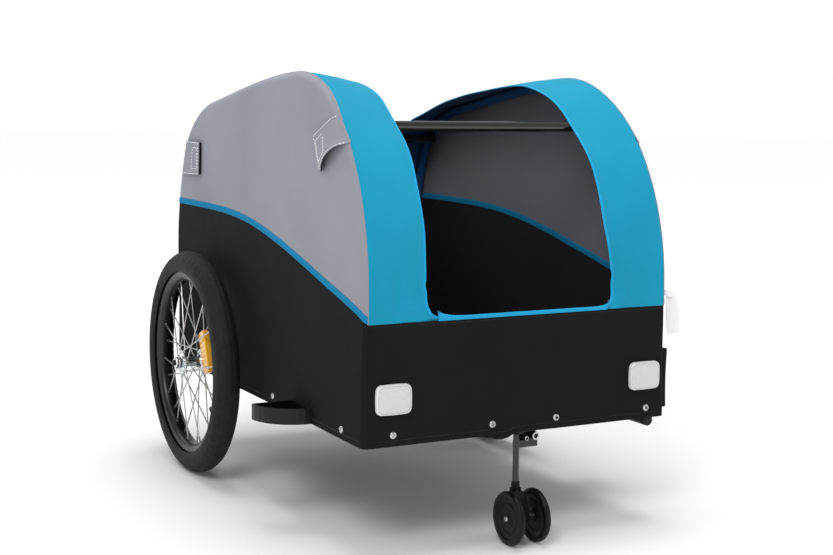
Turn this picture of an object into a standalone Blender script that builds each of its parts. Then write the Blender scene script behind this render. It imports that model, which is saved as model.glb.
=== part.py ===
"""Bicycle cargo trailer: a fabric box body on a tube frame, two spoked wheels and a folding front caster.

Metres, +Z up. The nose of the trailer faces -Y. The origin is on the ground, at the middle of the
trailer's length and width. Left means -X.
"""

import math

import bpy
import bmesh
from mathutils import Matrix, Vector

# ---- driving dimensions ------------------------------------------------------------------------
GAP = 0.0003            # clearance between pieces that touch
FABRIC = 0.002          # fabric wall thickness

BODY_HALF_W = 0.268     # outer face of the side walls
FRONT_Y = -0.394        # outer face of the front wall
REAR_Y = 0.439          # outer face of the rear wall
HEM_Z = 0.170           # lower edge of the fabric
TUB_FRONT_Z = 0.350     # top of the black front wall
TUB_REAR_Z = 0.479      # top of the black rear wall
CORNER_R = 0.012        # rounding between the walls
ROOF_PEAK = (-0.1215, 0.7125)
ROOF_END = (0.2720, 0.6623)
ROOF_DIR = Vector((math.cos(0.144), -math.sin(0.144)))
REAR_SHOULDER = (0.404, 0.579)
REAR_DIR = Vector((math.cos(1.155), -math.sin(1.155)))
REAR_SLACK = (0.4445, 0.385)    # where the rear wall stands out most over the frame
ARC_FOOT_Z = 0.377      # the front wall is upright below this
BAND_EDGE_X = 0.163     # free inner edge of each hood band
LEAN = ((0.215, 0.0), (0.440, 0.0025), (0.580, 0.0050), (0.7125, 0.0080))   # height, narrowing
SILL_H = 0.007

RAIL_X = 0.2555
TUBE = 0.020            # frame tubes, square
FRAME_Z = 0.187         # middle of the cross tubes
RAIL_TOP_Z = 0.212
TUBE_WALL = 0.0015
FLOOR_T = 0.003
HOOP_R = 0.0075
HOOP_INSET = 0.0115
BAR_R = 0.008

AXLE_Y = 0.234
AXLE_Z = 0.1995         # also the wheel's outer radius
WHEEL_X = 0.309
TYRE_SECTION_R = 0.0235
TYRE_WALL = 0.004
TYRE_BEAD_DEG = 125
RIM_TOP_R = 0.166
RIM_FLOOR_R = 0.148
SPOKES = 28
SPOKE_R = 0.0010
HUB_BORE_R = 0.0063
HUB_HALF_LEN = 0.026
FLANGE_R = 0.021
AXLE_R = 0.006
BUTTON_R = 0.0052
BUTTON_TRAVEL = 0.004
WHEEL_SEGMENTS = 40
REFLECTOR_DEPTH = 0.008

SWIVEL_X = -0.007
SWIVEL_Y = -0.386
CASTER_AXLE_Y = -0.4055
CASTER_R = 0.0415
CASTER_HALF_GAP = 0.0226
CASTER_W = 0.0105
FOLD_X = 0.022
FOLD_Z = 0.162
STOP_X = 0.0057
STOP_Z = 0.1596

SOCKET_X = 0.243
SOCKET_Z = 0.163
SOCKET_R = 0.009
SOCKET_LENGTH = 0.300

GREY = (0.315, 0.330, 0.368)
BLUE = (0.030, 0.340, 0.600)
BLACK_CLOTH = (0.020, 0.020, 0.020)
BLACK_PAINT = (0.012, 0.012, 0.012)


# ---- helpers -----------------------------------------------------------------------------------
def material(name, colour, roughness, metallic=0.0):
    mat = bpy.data.materials.get(name)
    if mat is None:
        mat = bpy.data.materials.new(name)
        mat.use_nodes = True
        shader = mat.node_tree.nodes["Principled BSDF"]
        shader.inputs["Base Color"].default_value = (*colour, 1.0)
        shader.inputs["Roughness"].default_value = roughness
        shader.inputs["Metallic"].default_value = metallic
    return mat


def add(name, mesh, mat, origin=(0, 0, 0)):
    """Link a mesh drawn in world coordinates as an object whose own origin is at origin."""
    mesh.transform(Matrix.Translation(-Vector(origin)))
    obj = bpy.data.objects.new(name, mesh)
    obj.location = origin
    obj.data.materials.append(material(name + "_mat", *mat))
    bpy.context.scene.collection.objects.link(obj)
    return obj


def loft(name, rings, mat, origin=(0, 0, 0), cyclic=False, smooth=False):
    """Skin a list of equal rings of points. Open lofts get flat end caps."""
    bm = bmesh.new()
    loops = [[bm.verts.new(p) for p in ring] for ring in rings]
    count = len(loops[0])
    spans = len(loops) if cyclic else len(loops) - 1
    for i in range(spans):
        a = loops[i]
        b = loops[(i + 1) % len(loops)]
        for k in range(count):
            bm.faces.new((a[k], a[(k + 1) % count], b[(k + 1) % count], b[k]))
    if not cyclic:
        bm.faces.new(loops[0][::-1])
        bm.faces.new(loops[-1])
    bmesh.ops.recalc_face_normals(bm, faces=bm.faces)
    mesh = bpy.data.meshes.new(name)
    bm.to_mesh(mesh)
    bm.free()
    if smooth:
        mesh.shade_smooth()
        mesh.set_sharp_from_angle(angle=math.radians(35))
    return add(name, mesh, mat, origin)


def place(axis, along, u, v):
    """A point from its distance along an axis and its two coordinates across it."""
    return {"X": (along, u, v), "Y": (u, along, v), "Z": (u, v, along)}[axis]


def circle(axis, centre, along, radius, segments):
    """A ring about an axis. The centre is the two coordinates across the axis."""
    step = 2 * math.pi / segments
    return [
        place(
            axis,
            along,
            centre[0] + radius * math.cos(i * step),
            centre[1] + radius * math.sin(i * step),
        )
        for i in range(segments)
    ]


def turned(name, axis, centre, profile, mat, origin=(0, 0, 0), segments=16, bored=False):
    """A turned solid from (along, radius) pairs. A bored one is a closed section, such as a ring."""
    rings = [circle(axis, centre, a, r, segments) for a, r in profile]
    return loft(name, rings, mat, origin, cyclic=bored, smooth=True)


def prism(name, axis, outline, low, high, mat, origin=(0, 0, 0)):
    """A flat outline, given across the axis, pushed from low to high along it."""
    rings = [[place(axis, a, u, v) for u, v in outline] for a in (low, high)]
    return loft(name, rings, mat, origin)


def box(name, low, high, mat, origin=(0, 0, 0)):
    outline = [(low[0], low[1]), (high[0], low[1]), (high[0], high[1]), (low[0], high[1])]
    return prism(name, "Z", outline, low[2], high[2], mat, origin)


def combine(target, tool, operation):
    """Cut or join with a helper solid that isn't part of the object itself."""
    tool.hide_render = True
    tool.display_type = "WIRE"
    mod = target.modifiers.new(operation.lower(), "BOOLEAN")
    mod.operation = operation
    mod.solver = "EXACT"
    mod.object = tool
    return target


def rectangle(u0, v0, u1, v1):
    return [(u0, v0), (u1, v0), (u1, v1), (u0, v1)]


def hollow_bar(name, axis, low, high, outline, inner, mat):
    """A straight tube that is open at both ends."""
    rings = [[place(axis, a, u, v) for u, v in ring] for a, ring in
             ((low, outline), (high, outline), (high, inner), (low, inner))]
    return loft(name, rings, mat, cyclic=True)


def bezier(p0, h0, h1, p1, count):
    """Points of a cubic curve, without its last one."""
    points = []
    for i in range(count):
        t = i / count
        s = 1 - t
        points.append(Vector(p0) * s ** 3 + Vector(h0) * 3 * s * s * t
                      + Vector(h1) * 3 * s * t * t + Vector(p1) * t ** 3)
    return points


def soft_min(a, b, softness):
    return -softness * math.log(math.exp(-a / softness) + math.exp(-b / softness))


# ---- the body's side outline -------------------------------------------------------------------
def rear_outline():
    """Rear slope and wall in (y, z), from the top of the shoulder down to the hem."""
    top = Vector(REAR_SHOULDER)
    slack = Vector(REAR_SLACK)
    back = bezier(top, top + 0.08 * REAR_DIR, slack + Vector((0, 0.08)), slack, 8)
    return back + [slack, Vector((REAR_Y, 0.290)), Vector((REAR_Y, HEM_Z))]


def cut_at(points, z):
    """Where a falling line crosses a height."""
    for p, q in zip(points, points[1:]):
        if p.y >= z > q.y:
            return p.lerp(q, (p.y - z) / (p.y - q.y))
    return points[-1]


def hood_profile():
    """Outer line of the hood in (y, z), from the front sill over the roof to the top of the rear wall."""
    peak = Vector(ROOF_PEAK)
    line = [Vector((FRONT_Y, TUB_FRONT_Z + GAP))]
    half_depth = peak.x - FRONT_Y
    half_height = peak.y - ARC_FOOT_Z
    steps = 10
    for i in range(steps):
        angle = math.pi / 2 * i / steps
        line.append(Vector((peak.x - half_depth * math.cos(angle),
                            ARC_FOOT_Z + half_height * math.sin(angle))))
    roof_end = Vector(ROOF_END)
    shoulder = Vector(REAR_SHOULDER)
    line += bezier(peak, peak + Vector((0.124, 0)), roof_end - 0.10 * ROOF_DIR, roof_end, 5)
    line += bezier(roof_end, roof_end + 0.052 * ROOF_DIR, shoulder - 0.046 * REAR_DIR, shoulder, 5)
    back = rear_outline()
    end = cut_at(back, TUB_REAR_Z + 0.0015)
    return line + [p for p in back if p.y > end.y + 0.008] + [end]


def rear_wall_profile():
    back = rear_outline()
    start = cut_at(back, TUB_REAR_Z)
    return [start] + [p for p in back if p.y < start.y - 0.008]


def inward_normals(points):
    """Unit normals that point into the body, one for each point of the profile."""
    normals = []
    for i in range(len(points)):
        tangent = points[min(i + 1, len(points) - 1)] - points[max(i - 1, 0)]
        tangent.normalize()
        normals.append(Vector((tangent.y, -tangent.x)))
    return normals


def inset(points, depth):
    return [p + n * depth for p, n in zip(points, inward_normals(points))]


def seam_z(y):
    """Height of the S-shaped seam between the black and the grey side cloth."""
    return soft_min(TUB_REAR_Z, 0.407 + 0.255 * (y + 0.206), 0.018)


def band_droop(i, count):
    """How far a hood band's free edge hangs below the side outline: most over the front shoulder."""
    share = i / (count - 1)
    return 0.010 + 0.007 * math.exp(-((share - 0.32) / 0.15) ** 2)


# ---- lean of the sides -------------------------------------------------------------------------
def lean(z):
    """How much narrower half the body is at a height than at the frame."""
    for (z0, d0), (z1, d1) in zip(LEAN, LEAN[1:]):
        if z <= z1:
            return d0 + (d1 - d0) * max(0.0, z - z0) / (z1 - z0)
    return LEAN[-1][1]


def lean_in(obj):
    """Narrows a piece of the body with height. Its faces are cut where the slope changes, so they stay flat."""
    mesh = bmesh.new()
    mesh.from_mesh(obj.data)
    for z, _ in LEAN[:-1]:
        bmesh.ops.bisect_plane(mesh, geom=mesh.verts[:] + mesh.edges[:] + mesh.faces[:], dist=1e-7,
                               plane_co=(0, 0, z), plane_no=(0, 0, 1))
    for vert in mesh.verts:
        vert.co.x *= 1 - lean(vert.co.z) / BODY_HALF_W
    mesh.to_mesh(obj.data)
    mesh.free()


# ---- frame -------------------------------------------------------------------------------------
def build_frame():
    paint = (BLACK_PAINT, 0.35, 0.2)
    half = TUBE / 2
    front_y = FRONT_Y + FABRIC + 0.0005 + half
    rear_y = REAR_Y - FABRIC - 0.0005 - half
    inside = RAIL_X - half - GAP
    low = FRAME_Z - half
    for side, sign in (("left", -1), ("right", 1)):
        outer = rectangle(sign * RAIL_X - half, low, sign * RAIL_X + half, RAIL_TOP_Z)
        inner = rectangle(sign * RAIL_X - half + TUBE_WALL, low + TUBE_WALL,
                          sign * RAIL_X + half - TUBE_WALL, RAIL_TOP_Z - TUBE_WALL)
        rail = hollow_bar("rail_" + side, "Y", FRONT_Y + CORNER_R, REAR_Y - CORNER_R, outer, inner, paint)
        hole = turned("rail_hole_" + side, "X", (AXLE_Y, AXLE_Z),
                      [(sign * RAIL_X - 0.02, 0.0093), (sign * RAIL_X + 0.02, 0.0093)], paint)
        combine(rail, hole, "DIFFERENCE")
    for name, y in (("front_tube", front_y), ("axle_beam", AXLE_Y), ("rear_tube", rear_y)):
        outer = rectangle(y - half, low, y + half, FRAME_Z + half)
        inner = rectangle(y - half + TUBE_WALL, low + TUBE_WALL,
                          y + half - TUBE_WALL, FRAME_Z + half - TUBE_WALL)
        hollow_bar(name, "X", -inside, inside, outer, inner, paint)
    top = FRAME_Z + half + GAP
    box("floor_board", (-inside, front_y - half, top), (inside, rear_y + half, top + FLOOR_T),
        ((0.03, 0.03, 0.03), 0.8))


def hoop_path():
    """Centre line of a side hoop in (y, z): two upright legs on the rail and the curve of the roof."""
    line = inset(hood_profile(), HOOP_INSET)
    foot_z = RAIL_TOP_Z + GAP
    rear = inset(rear_wall_profile(), HOOP_INSET)[1:-1]
    return [Vector((line[0].x, foot_z))] + line + rear + [Vector((REAR_Y - HOOP_INSET, foot_z))]


def build_hoops():
    path = hoop_path()
    for side, sign in (("left", -1), ("right", 1)):
        curve = bpy.data.curves.new("hoop_" + side, "CURVE")
        curve.dimensions = "3D"
        curve.bevel_depth = HOOP_R
        curve.bevel_resolution = 2
        curve.use_fill_caps = True
        spline = curve.splines.new("POLY")
        spline.points.add(len(path) - 1)
        for point, p in zip(spline.points, path):
            point.co = (sign * (BODY_HALF_W - HOOP_INSET - lean(p.y)), p.x, p.y, 1)
        obj = bpy.data.objects.new("hoop_" + side, curve)
        obj.data.materials.append(material("hoop_" + side + "_mat", BLACK_PAINT, 0.35, 0.2))
        bpy.context.scene.collection.objects.link(obj)


def capsule(p, q, radius):
    """Outline of a straight arm with round ends between two points of the (y, z) plane."""
    along = (q - p).normalized()
    start = math.atan2(along.y, along.x) + math.pi / 2
    steps = 6
    points = []
    for centre, first in ((p, start), (q, start + math.pi)):
        for i in range(steps + 1):
            a = first + math.pi * i / steps
            points.append((centre.x + radius * math.cos(a), centre.y + radius * math.sin(a)))
    return points


def build_crossbars():
    """Two tubes between the hoops. Each end sits in a moulded arm that clips to the inside of its hoop."""
    profile = hood_profile()
    plastic = ((0.02, 0.02, 0.02), 0.5)
    for name, bar in (("front", Vector((-0.2610, 0.6300))), ("rear", Vector((0.3400, 0.5980)))):
        near = min(profile, key=lambda p: (p - bar).length)
        clip = near + (bar - near).normalized() * 0.0155
        hoop_face = BODY_HALF_W - HOOP_INSET - HOOP_R - GAP - lean(clip.y + 0.01)
        arm_face = hoop_face - 0.009
        bar_end = arm_face - GAP
        turned("crossbar_" + name, "X", bar,
               [(-bar_end, BAR_R), (bar_end, BAR_R), (bar_end, BAR_R - 0.0015), (-bar_end, BAR_R - 0.0015)],
               (BLACK_PAINT, 0.12, 0.6), segments=16, bored=True)
        for side, sign in (("left", -1), ("right", 1)):
            fitting = prism("bar_fitting_" + name + "_" + side, "X", capsule(bar, clip, 0.0078),
                            sign * arm_face, sign * hoop_face, plastic)
            spigot = turned("spigot_" + name + "_" + side, "X", bar,
                            [(sign * (arm_face + 0.004), 0.0062), (sign * (bar_end - 0.020), 0.0062)],
                            plastic, segments=14)
            combine(fitting, spigot, "UNION")


# ---- fabric body -------------------------------------------------------------------------------
def side_edge():
    """Edge of a side wall, just inside the rounded corners: front hem, over the roof, rear hem, in (y, z)."""
    hem = [Vector((FRONT_Y, HEM_Z))]
    return inset(hem + hood_profile()[1:] + rear_wall_profile()[1:], CORNER_R + GAP)


def build_sides():
    edge = side_edge()
    front = edge[0].x
    falling = edge[edge.index(max(edge, key=lambda p: p.y)):]
    corner = cut_at(falling, seam_z(REAR_Y - 0.03))
    rear_low = [(p.x, p.y) for p in falling if p.y < corner.y - 0.006]
    crown = [(p.x, p.y) for p in edge if p.y > seam_z(p.x) + 0.012]
    steps = 22
    seam = [front + (corner.x - front) * i / steps for i in range(steps + 1)]
    lower_edge = [(y, seam_z(y) - GAP / 2) for y in seam]
    upper_edge = [(y, seam_z(y) + GAP / 2) for y in seam]
    for side, sign in (("left", -1), ("right", 1)):
        x0 = sign * (BODY_HALF_W - FABRIC)
        x1 = sign * BODY_HALF_W
        lower = prism("side_lower_" + side, "X", [(front, HEM_Z)] + lower_edge + rear_low,
                      x0, x1, (BLACK_CLOTH, 0.9))
        hole = turned("side_hole_" + side, "X", (AXLE_Y, AXLE_Z),
                      [(x0 - sign * 0.01, 0.0093), (x1 + sign * 0.01, 0.0093)], (BLACK_CLOTH, 0.9))
        combine(lower, hole, "DIFFERENCE")
        prism("side_upper_" + side, "X", upper_edge + crown[::-1], x0, x1, (GREY, 0.85))


def wall_section(steps=4):
    """Section of an end wall in (x, depth): a flat cloth whose ends turn round the corners."""
    outer = []
    inner = []
    for sign in (-1, 1):
        angles = [math.pi / 2 * i / steps for i in range(steps + 1)]
        if sign == 1:
            angles.reverse()
        for a in angles:
            for line, r in ((outer, CORNER_R), (inner, CORNER_R - FABRIC)):
                line.append((sign * (BODY_HALF_W - CORNER_R + r * math.cos(a)), CORNER_R - r * math.sin(a)))
    return outer + inner[::-1]


def build_end_walls():
    """Black front and rear walls. Their ends turn round the corners to meet the sides."""
    front = [Vector((FRONT_Y, HEM_Z)), Vector((FRONT_Y, TUB_FRONT_Z))]
    for name, path in (("tub_front", front), ("tub_rear", rear_wall_profile())):
        rings = [[(x, p.x + n.x * d, p.y + n.y * d) for x, d in wall_section()]
                 for p, n in zip(path, inward_normals(path))]
        loft(name, rings, (BLACK_CLOTH, 0.9))


def build_hood():
    """Blue bands over the front, roof and rear along each side, and the sill strip between them."""
    path = hood_profile()
    normals = inward_normals(path)
    steps = 3
    for side, sign in (("left", -1), ("right", 1)):
        rings = []
        for i, (p, n) in enumerate(zip(path, normals)):
            droop = band_droop(i, len(path))
            flat = BODY_HALF_W - CORNER_R
            middle = (flat + BAND_EDGE_X) / 2
            section = [(BAND_EDGE_X, droop), (middle, droop * 0.42), (flat, 0)]
            back = [(flat, FABRIC), (middle, droop * 0.42 + FABRIC), (BAND_EDGE_X, droop + FABRIC)]
            arc = []
            arc_back = []
            for k in range(1, steps + 1):
                a = math.pi / 2 * k / steps
                arc.append((flat + CORNER_R * math.sin(a), CORNER_R - CORNER_R * math.cos(a)))
                r = CORNER_R - FABRIC
                arc_back.append((flat + r * math.sin(a), CORNER_R - r * math.cos(a)))
            outline = section + arc + arc_back[::-1] + back
            rings.append([(sign * x, p.x + n.x * d, p.y + n.y * d) for x, d in outline])
        loft("hood_band_" + side, rings, (BLUE, 0.85), smooth=True)
    half = BAND_EDGE_X - GAP
    box("sill_strip", (-half, FRONT_Y, TUB_FRONT_Z + GAP),
        (half, FRONT_Y + FABRIC, TUB_FRONT_Z + SILL_H), (BLUE, 0.85))


def build_piping():
    """Blue tapes sewn over the S-shaped seams."""
    front = FRONT_Y + CORNER_R
    rear = cut_at(rear_outline(), TUB_REAR_Z + 0.006).x - CORNER_R
    steps = 22
    half = 0.0055
    ys = [front + (rear - front) * i / steps for i in range(steps + 1)]
    slopes = [(seam_z(y + 0.001) - seam_z(y - 0.001)) / 0.002 for y in ys]
    for side, sign in (("left", -1), ("right", 1)):
        rings = []
        for y, slope in zip(ys, slopes):
            z = seam_z(y)
            reach = half * math.sqrt(1 + slope * slope)
            x0 = sign * (BODY_HALF_W + GAP)
            x1 = sign * (BODY_HALF_W + GAP + 0.0012)
            rings.append([(x0, y, z - reach), (x1, y, z - reach), (x1, y, z + reach), (x0, y, z + reach)])
        loft("piping_" + side, rings, ((0.015, 0.22, 0.46), 0.8))


def build_flag_sleeve():
    """Cloth sleeve on the right side that takes a flag pole."""
    r = 0.0118
    y = -0.3620
    x = BODY_HALF_W + GAP + r
    turned("flag_sleeve", "Z", (x, y), [(0.180, r), (0.274, r), (0.274, r - FABRIC), (0.180, r - FABRIC)],
           (BLACK_CLOTH, 0.9), segments=16, bored=True)


# ---- reflectors and screws ---------------------------------------------------------------------
def barrel_outline(cx, cz, half_w, half_h, corner):
    """A rounded rectangle with slightly bulging sides."""
    points = []
    for qx, qz, start in ((1, 1, 0), (-1, 1, 90), (-1, -1, 180), (1, -1, 270)):
        for k in range(4):
            a = math.radians(start + 30 * k)
            points.append((cx + qx * (half_w - corner) + corner * math.cos(a),
                           cz + qz * (half_h - corner) + corner * math.sin(a)))
    return points


def build_reflectors():
    for end, y, out, colour in (("front", FRONT_Y, -1, (0.62, 0.64, 0.64)), ("rear", REAR_Y, 1, (0.45, 0.02, 0.02))):
        for side, sign in (("left", -1), ("right", 1)):
            x = sign * 0.2235
            rings = []
            for depth, shrink in ((GAP, 0.0), (0.0055, 0.0), (REFLECTOR_DEPTH, 0.0025)):
                outline = barrel_outline(x, 0.240, 0.0288 - shrink, 0.0226 - shrink, 0.009 - shrink)
                rings.append([(u, y + out * depth, v) for u, v in outline])
            loft("reflector_" + end + "_" + side, rings, (colour, 0.25))


def build_screws():
    for i, x in enumerate((-0.2230, -0.0550, 0.0590, 0.2300)):
        y = FRONT_Y - GAP
        turned("front_screw_%d" % (i + 1), "Y", (x, FRAME_Z),
               [(y, 0.0046), (y - 0.0014, 0.0042), (y - 0.0026, 0.0024)],
               ((0.6, 0.6, 0.58), 0.3, 1.0), segments=12)


# ---- rear wheels -------------------------------------------------------------------------------
def tyre_section():
    """Closed section of the tyre in (across, radius): a C that opens towards the rim."""
    centre = AXLE_Z - TYRE_SECTION_R
    outer = []
    inner = []
    steps = 6
    for k in range(steps + 1):
        a = math.radians(TYRE_BEAD_DEG * (2 * k / steps - 1))
        for line, r in ((outer, TYRE_SECTION_R), (inner, TYRE_SECTION_R - TYRE_WALL)):
            line.append((r * math.sin(a), centre + r * math.cos(a)))
    return outer + inner[::-1]


def build_hub(name, x, origin):
    """Hub shell with both flanges and all its spokes, joined into one solid."""
    end = HUB_HALF_LEN
    inner_face = 0.0165
    outer_face = 0.0200
    profile = [(-end, HUB_BORE_R), (-end, 0.011), (-outer_face, 0.011), (-outer_face, FLANGE_R),
               (-inner_face, FLANGE_R), (-inner_face, 0.009), (inner_face, 0.009), (inner_face, FLANGE_R),
               (outer_face, FLANGE_R), (outer_face, 0.011), (end, 0.011), (end, HUB_BORE_R)]
    metal = ((0.62, 0.63, 0.64), 0.25, 1.0)
    hub = turned(name, "X", (AXLE_Y, AXLE_Z), [(x + a, r) for a, r in profile], metal, origin, 20, bored=True)
    spokes = bpy.data.collections.new(name + "_spokes")
    bpy.context.scene.collection.children.link(spokes)
    for i in range(SPOKES):
        rim_angle = 2 * math.pi * (i + 0.5) / SPOKES
        side = -1 if i % 2 else 1
        lean = -1 if (i // 2) % 2 else 1
        hub_angle = rim_angle + lean * math.radians(62)
        start_r = FLANGE_R - 0.0035
        end_r = RIM_FLOOR_R - GAP - 0.0004
        a = Vector((x + side * 0.01825 + lean * 0.0002, AXLE_Y + start_r * math.cos(hub_angle),
                    AXLE_Z + start_r * math.sin(hub_angle)))
        b = Vector((x + side * 0.0025 + lean * 0.0012, AXLE_Y + end_r * math.cos(rim_angle),
                    AXLE_Z + end_r * math.sin(rim_angle)))
        along = (b - a).normalized()
        across = along.cross(Vector((1, 0, 0))).normalized()
        up = along.cross(across)
        rings = []
        for end_point in (a, b):
            rings.append([end_point + SPOKE_R * (across * math.cos(t) + up * math.sin(t))
                          for t in (math.pi / 4 + math.pi / 2 * k for k in range(4))])
        spoke = loft("%s_spoke_%d" % (name, i), rings, metal)
        spoke.hide_render = True
        spoke.display_type = "WIRE"
        bpy.context.scene.collection.objects.unlink(spoke)
        spokes.objects.link(spoke)
    mod = hub.modifiers.new("spokes", "BOOLEAN")
    mod.operation = "UNION"
    mod.solver = "EXACT"
    mod.operand_type = "COLLECTION"
    mod.collection = spokes
    mod.use_self = True


def build_spoke_reflector(name, x, origin):
    """Amber reflector held between the two sets of spokes, ahead of the hub."""
    middle = 0.080
    lift = math.radians(14)
    rings = []
    for across, shrink in ((-0.0060, 0.003), (-0.0035, 0.0), (0.0035, 0.0), (0.0060, 0.003)):
        ring = []
        for u, v in barrel_outline(0, 0, 0.0145 - shrink, 0.037 - shrink, 0.008 - shrink):
            r = middle + u
            ring.append((x + across, AXLE_Y - r * math.cos(lift) - v * math.sin(lift),
                         AXLE_Z + r * math.sin(lift) - v * math.cos(lift)))
        rings.append(ring)
    loft(name, rings, ((0.70, 0.30, 0.01), 0.2), origin)


def build_wheels():
    for side, sign in (("left", -1), ("right", 1)):
        x = sign * WHEEL_X
        origin = (x, AXLE_Y, AXLE_Z)
        centre = (AXLE_Y, AXLE_Z)
        turned("tyre_" + side, "X", centre, [(x + a, r) for a, r in tyre_section()],
               ((0.015, 0.016, 0.016), 0.9), origin, WHEEL_SEGMENTS, bored=True)
        wall = 0.0150
        thin = 0.0130
        rim = [(-wall, RIM_TOP_R), (-wall, 0.1565), (-0.010, 0.1500), (0, RIM_FLOOR_R), (0.010, 0.1500),
               (wall, 0.1565), (wall, RIM_TOP_R), (thin, RIM_TOP_R), (thin, 0.1580), (0, 0.1520),
               (-thin, 0.1580), (-thin, RIM_TOP_R)]
        turned("rim_" + side, "X", centre, [(x + a, r) for a, r in rim],
               ((0.045, 0.046, 0.048), 0.4, 0.7), origin, WHEEL_SEGMENTS, bored=True)
        build_hub("hub_" + side, x, origin)
        build_spoke_reflector("spoke_reflector_" + side, x, origin)
        build_axle(side, sign)


def build_axle(side, sign):
    """Receiver in the rail, the fixed axle with its cap, and the release button in the cap."""
    centre = (AXLE_Y, AXLE_Z)
    wall = BODY_HALF_W
    receiver = [(0.2470, AXLE_R + GAP), (0.2470, 0.0090), (wall + GAP, 0.0090), (wall + GAP, 0.0180),
                (wall + 0.003, 0.0180), (wall + 0.003, 0.0100), (wall + 0.012, 0.0100),
                (wall + 0.012, AXLE_R + GAP)]
    turned("axle_receiver_" + side, "X", centre, [(sign * a, r) for a, r in receiver],
           (BLACK_PAINT, 0.4, 0.3), segments=20, bored=True)
    cap_in = WHEEL_X + HUB_HALF_LEN + 0.0005
    cap_out = cap_in + 0.0060
    pocket = cap_out - BUTTON_TRAVEL - 0.0012
    axle = [(0.2490, AXLE_R - 0.0005), (0.2495, AXLE_R), (cap_in, AXLE_R), (cap_in, 0.0100),
            (cap_out - 0.0012, 0.0100), (cap_out, 0.0088), (cap_out, BUTTON_R + GAP), (pocket, BUTTON_R + GAP)]
    turned("axle_" + side, "X", centre, [(sign * a, r) for a, r in axle],
           ((0.60, 0.61, 0.62), 0.25, 1.0), segments=20)
    button = [(pocket + BUTTON_TRAVEL + GAP, BUTTON_R), (cap_out + BUTTON_TRAVEL - 0.0010, BUTTON_R),
              (cap_out + BUTTON_TRAVEL, BUTTON_R - 0.0014)]
    turned("axle_button_" + side, "X", centre, [(sign * a, r) for a, r in button],
           ((0.05, 0.05, 0.05), 0.4), (sign * cap_out, AXLE_Y, AXLE_Z), 16)


def build_wheel_guards():
    """Quarter-round trays in front of the wheels, fixed to the rails through the cloth."""
    y = -0.136
    r = 0.071
    low = 0.1700
    high = 0.1950
    plastic = ((0.012, 0.012, 0.012), 0.5)
    steps = 10
    for side, sign in (("left", -1), ("right", 1)):
        x = sign * (BODY_HALF_W + GAP)
        angles = [math.pi / 2 * i / steps for i in range(steps + 1)]
        outer = [(x, y)] + [(x + sign * r * math.cos(a), y - r * math.sin(a)) for a in angles]
        wall = 0.003
        s = r - wall
        corner = (x + sign * wall, y - wall)
        reach = math.sqrt(s * s - wall * wall)
        lowest = math.asin(wall / s)
        span = math.pi / 2 - 2 * lowest
        inner = [corner] + [(x + sign * s * math.cos(lowest + span * i / steps),
                             y - s * math.sin(lowest + span * i / steps)) for i in range(steps + 1)]
        inner[1] = (x + sign * reach, y - wall)
        inner[-1] = (x + sign * wall, y - reach)
        guard = prism("wheel_guard_" + side, "Z", outer, low, high, plastic)
        pocket = prism("guard_pocket_" + side, "Z", inner, low + wall, high + 0.01, plastic)
        combine(guard, pocket, "DIFFERENCE")


# ---- tow-arm socket ----------------------------------------------------------------------------
def build_tow_socket():
    """Tube under the right rail that takes the tow arm, closed by a plug while the arm is off."""
    start = -0.3760
    end = start + SOCKET_LENGTH
    centre = (SOCKET_X, SOCKET_Z)
    bore = SOCKET_R - 0.0015
    paint = (BLACK_PAINT, 0.35, 0.2)
    tube = turned("tow_socket", "Y", centre, [(start, SOCKET_R), (end, SOCKET_R), (end, bore), (start, bore)],
                  paint, segments=16, bored=True)
    for i, y in enumerate((start + 0.045, end - 0.055)):
        saddle = box("saddle_%d" % i, (SOCKET_X - 0.006, y, SOCKET_Z + bore + 0.0004),
                     (SOCKET_X + 0.006, y + 0.030, FRAME_Z - TUBE / 2 - GAP), paint)
        combine(tube, saddle, "UNION")
    turned("socket_plug", "Y", centre,
           [(start - 0.0095, SOCKET_R - 0.0012), (start - 0.0085, SOCKET_R), (start - GAP, SOCKET_R),
            (start - GAP, bore - GAP), (start + 0.010, bore - GAP)],
           ((0.02, 0.02, 0.02), 0.6), segments=16)


# ---- front caster ------------------------------------------------------------------------------
def build_caster_mount():
    paint = (BLACK_PAINT, 0.4, 0.2)
    front_y = FRONT_Y + FABRIC + 0.0005
    ear_front = SWIVEL_Y + 0.0055
    ear_back = ear_front + 0.007
    plate_top = FRAME_Z - TUBE / 2 - GAP
    plate_low = 0.1695
    bracket = box("caster_bracket", (-0.030, front_y, plate_low), (0.050, front_y + TUBE, plate_top), paint)
    ear = box("caster_ear", (-0.001, ear_front, 0.1520), (0.031, ear_back, plate_low + 0.002), paint)
    combine(bracket, ear, "UNION")
    metal = ((0.60, 0.60, 0.60), 0.3, 1.0)
    nose = SWIVEL_Y - 0.010
    for name, x, z, shank, head, head_back in (
        ("fold_bolt", FOLD_X, FOLD_Z, 0.0034, 0.0067, SWIVEL_Y - 0.0045),
        ("stop_bolt", STOP_X, STOP_Z, 0.0026, 0.0035, ear_front - GAP),
    ):
        hole = turned(name + "_hole", "Y", (x, z), [(ear_front - 0.01, shank + GAP), (ear_back + 0.01, shank + GAP)],
                      paint, segments=14)
        combine(bracket, hole, "DIFFERENCE")
        turned(name, "Y", (x, z), [(nose, head), (head_back, head), (head_back, shank), (ear_back + 0.002, shank)],
               metal, segments=14)


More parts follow.
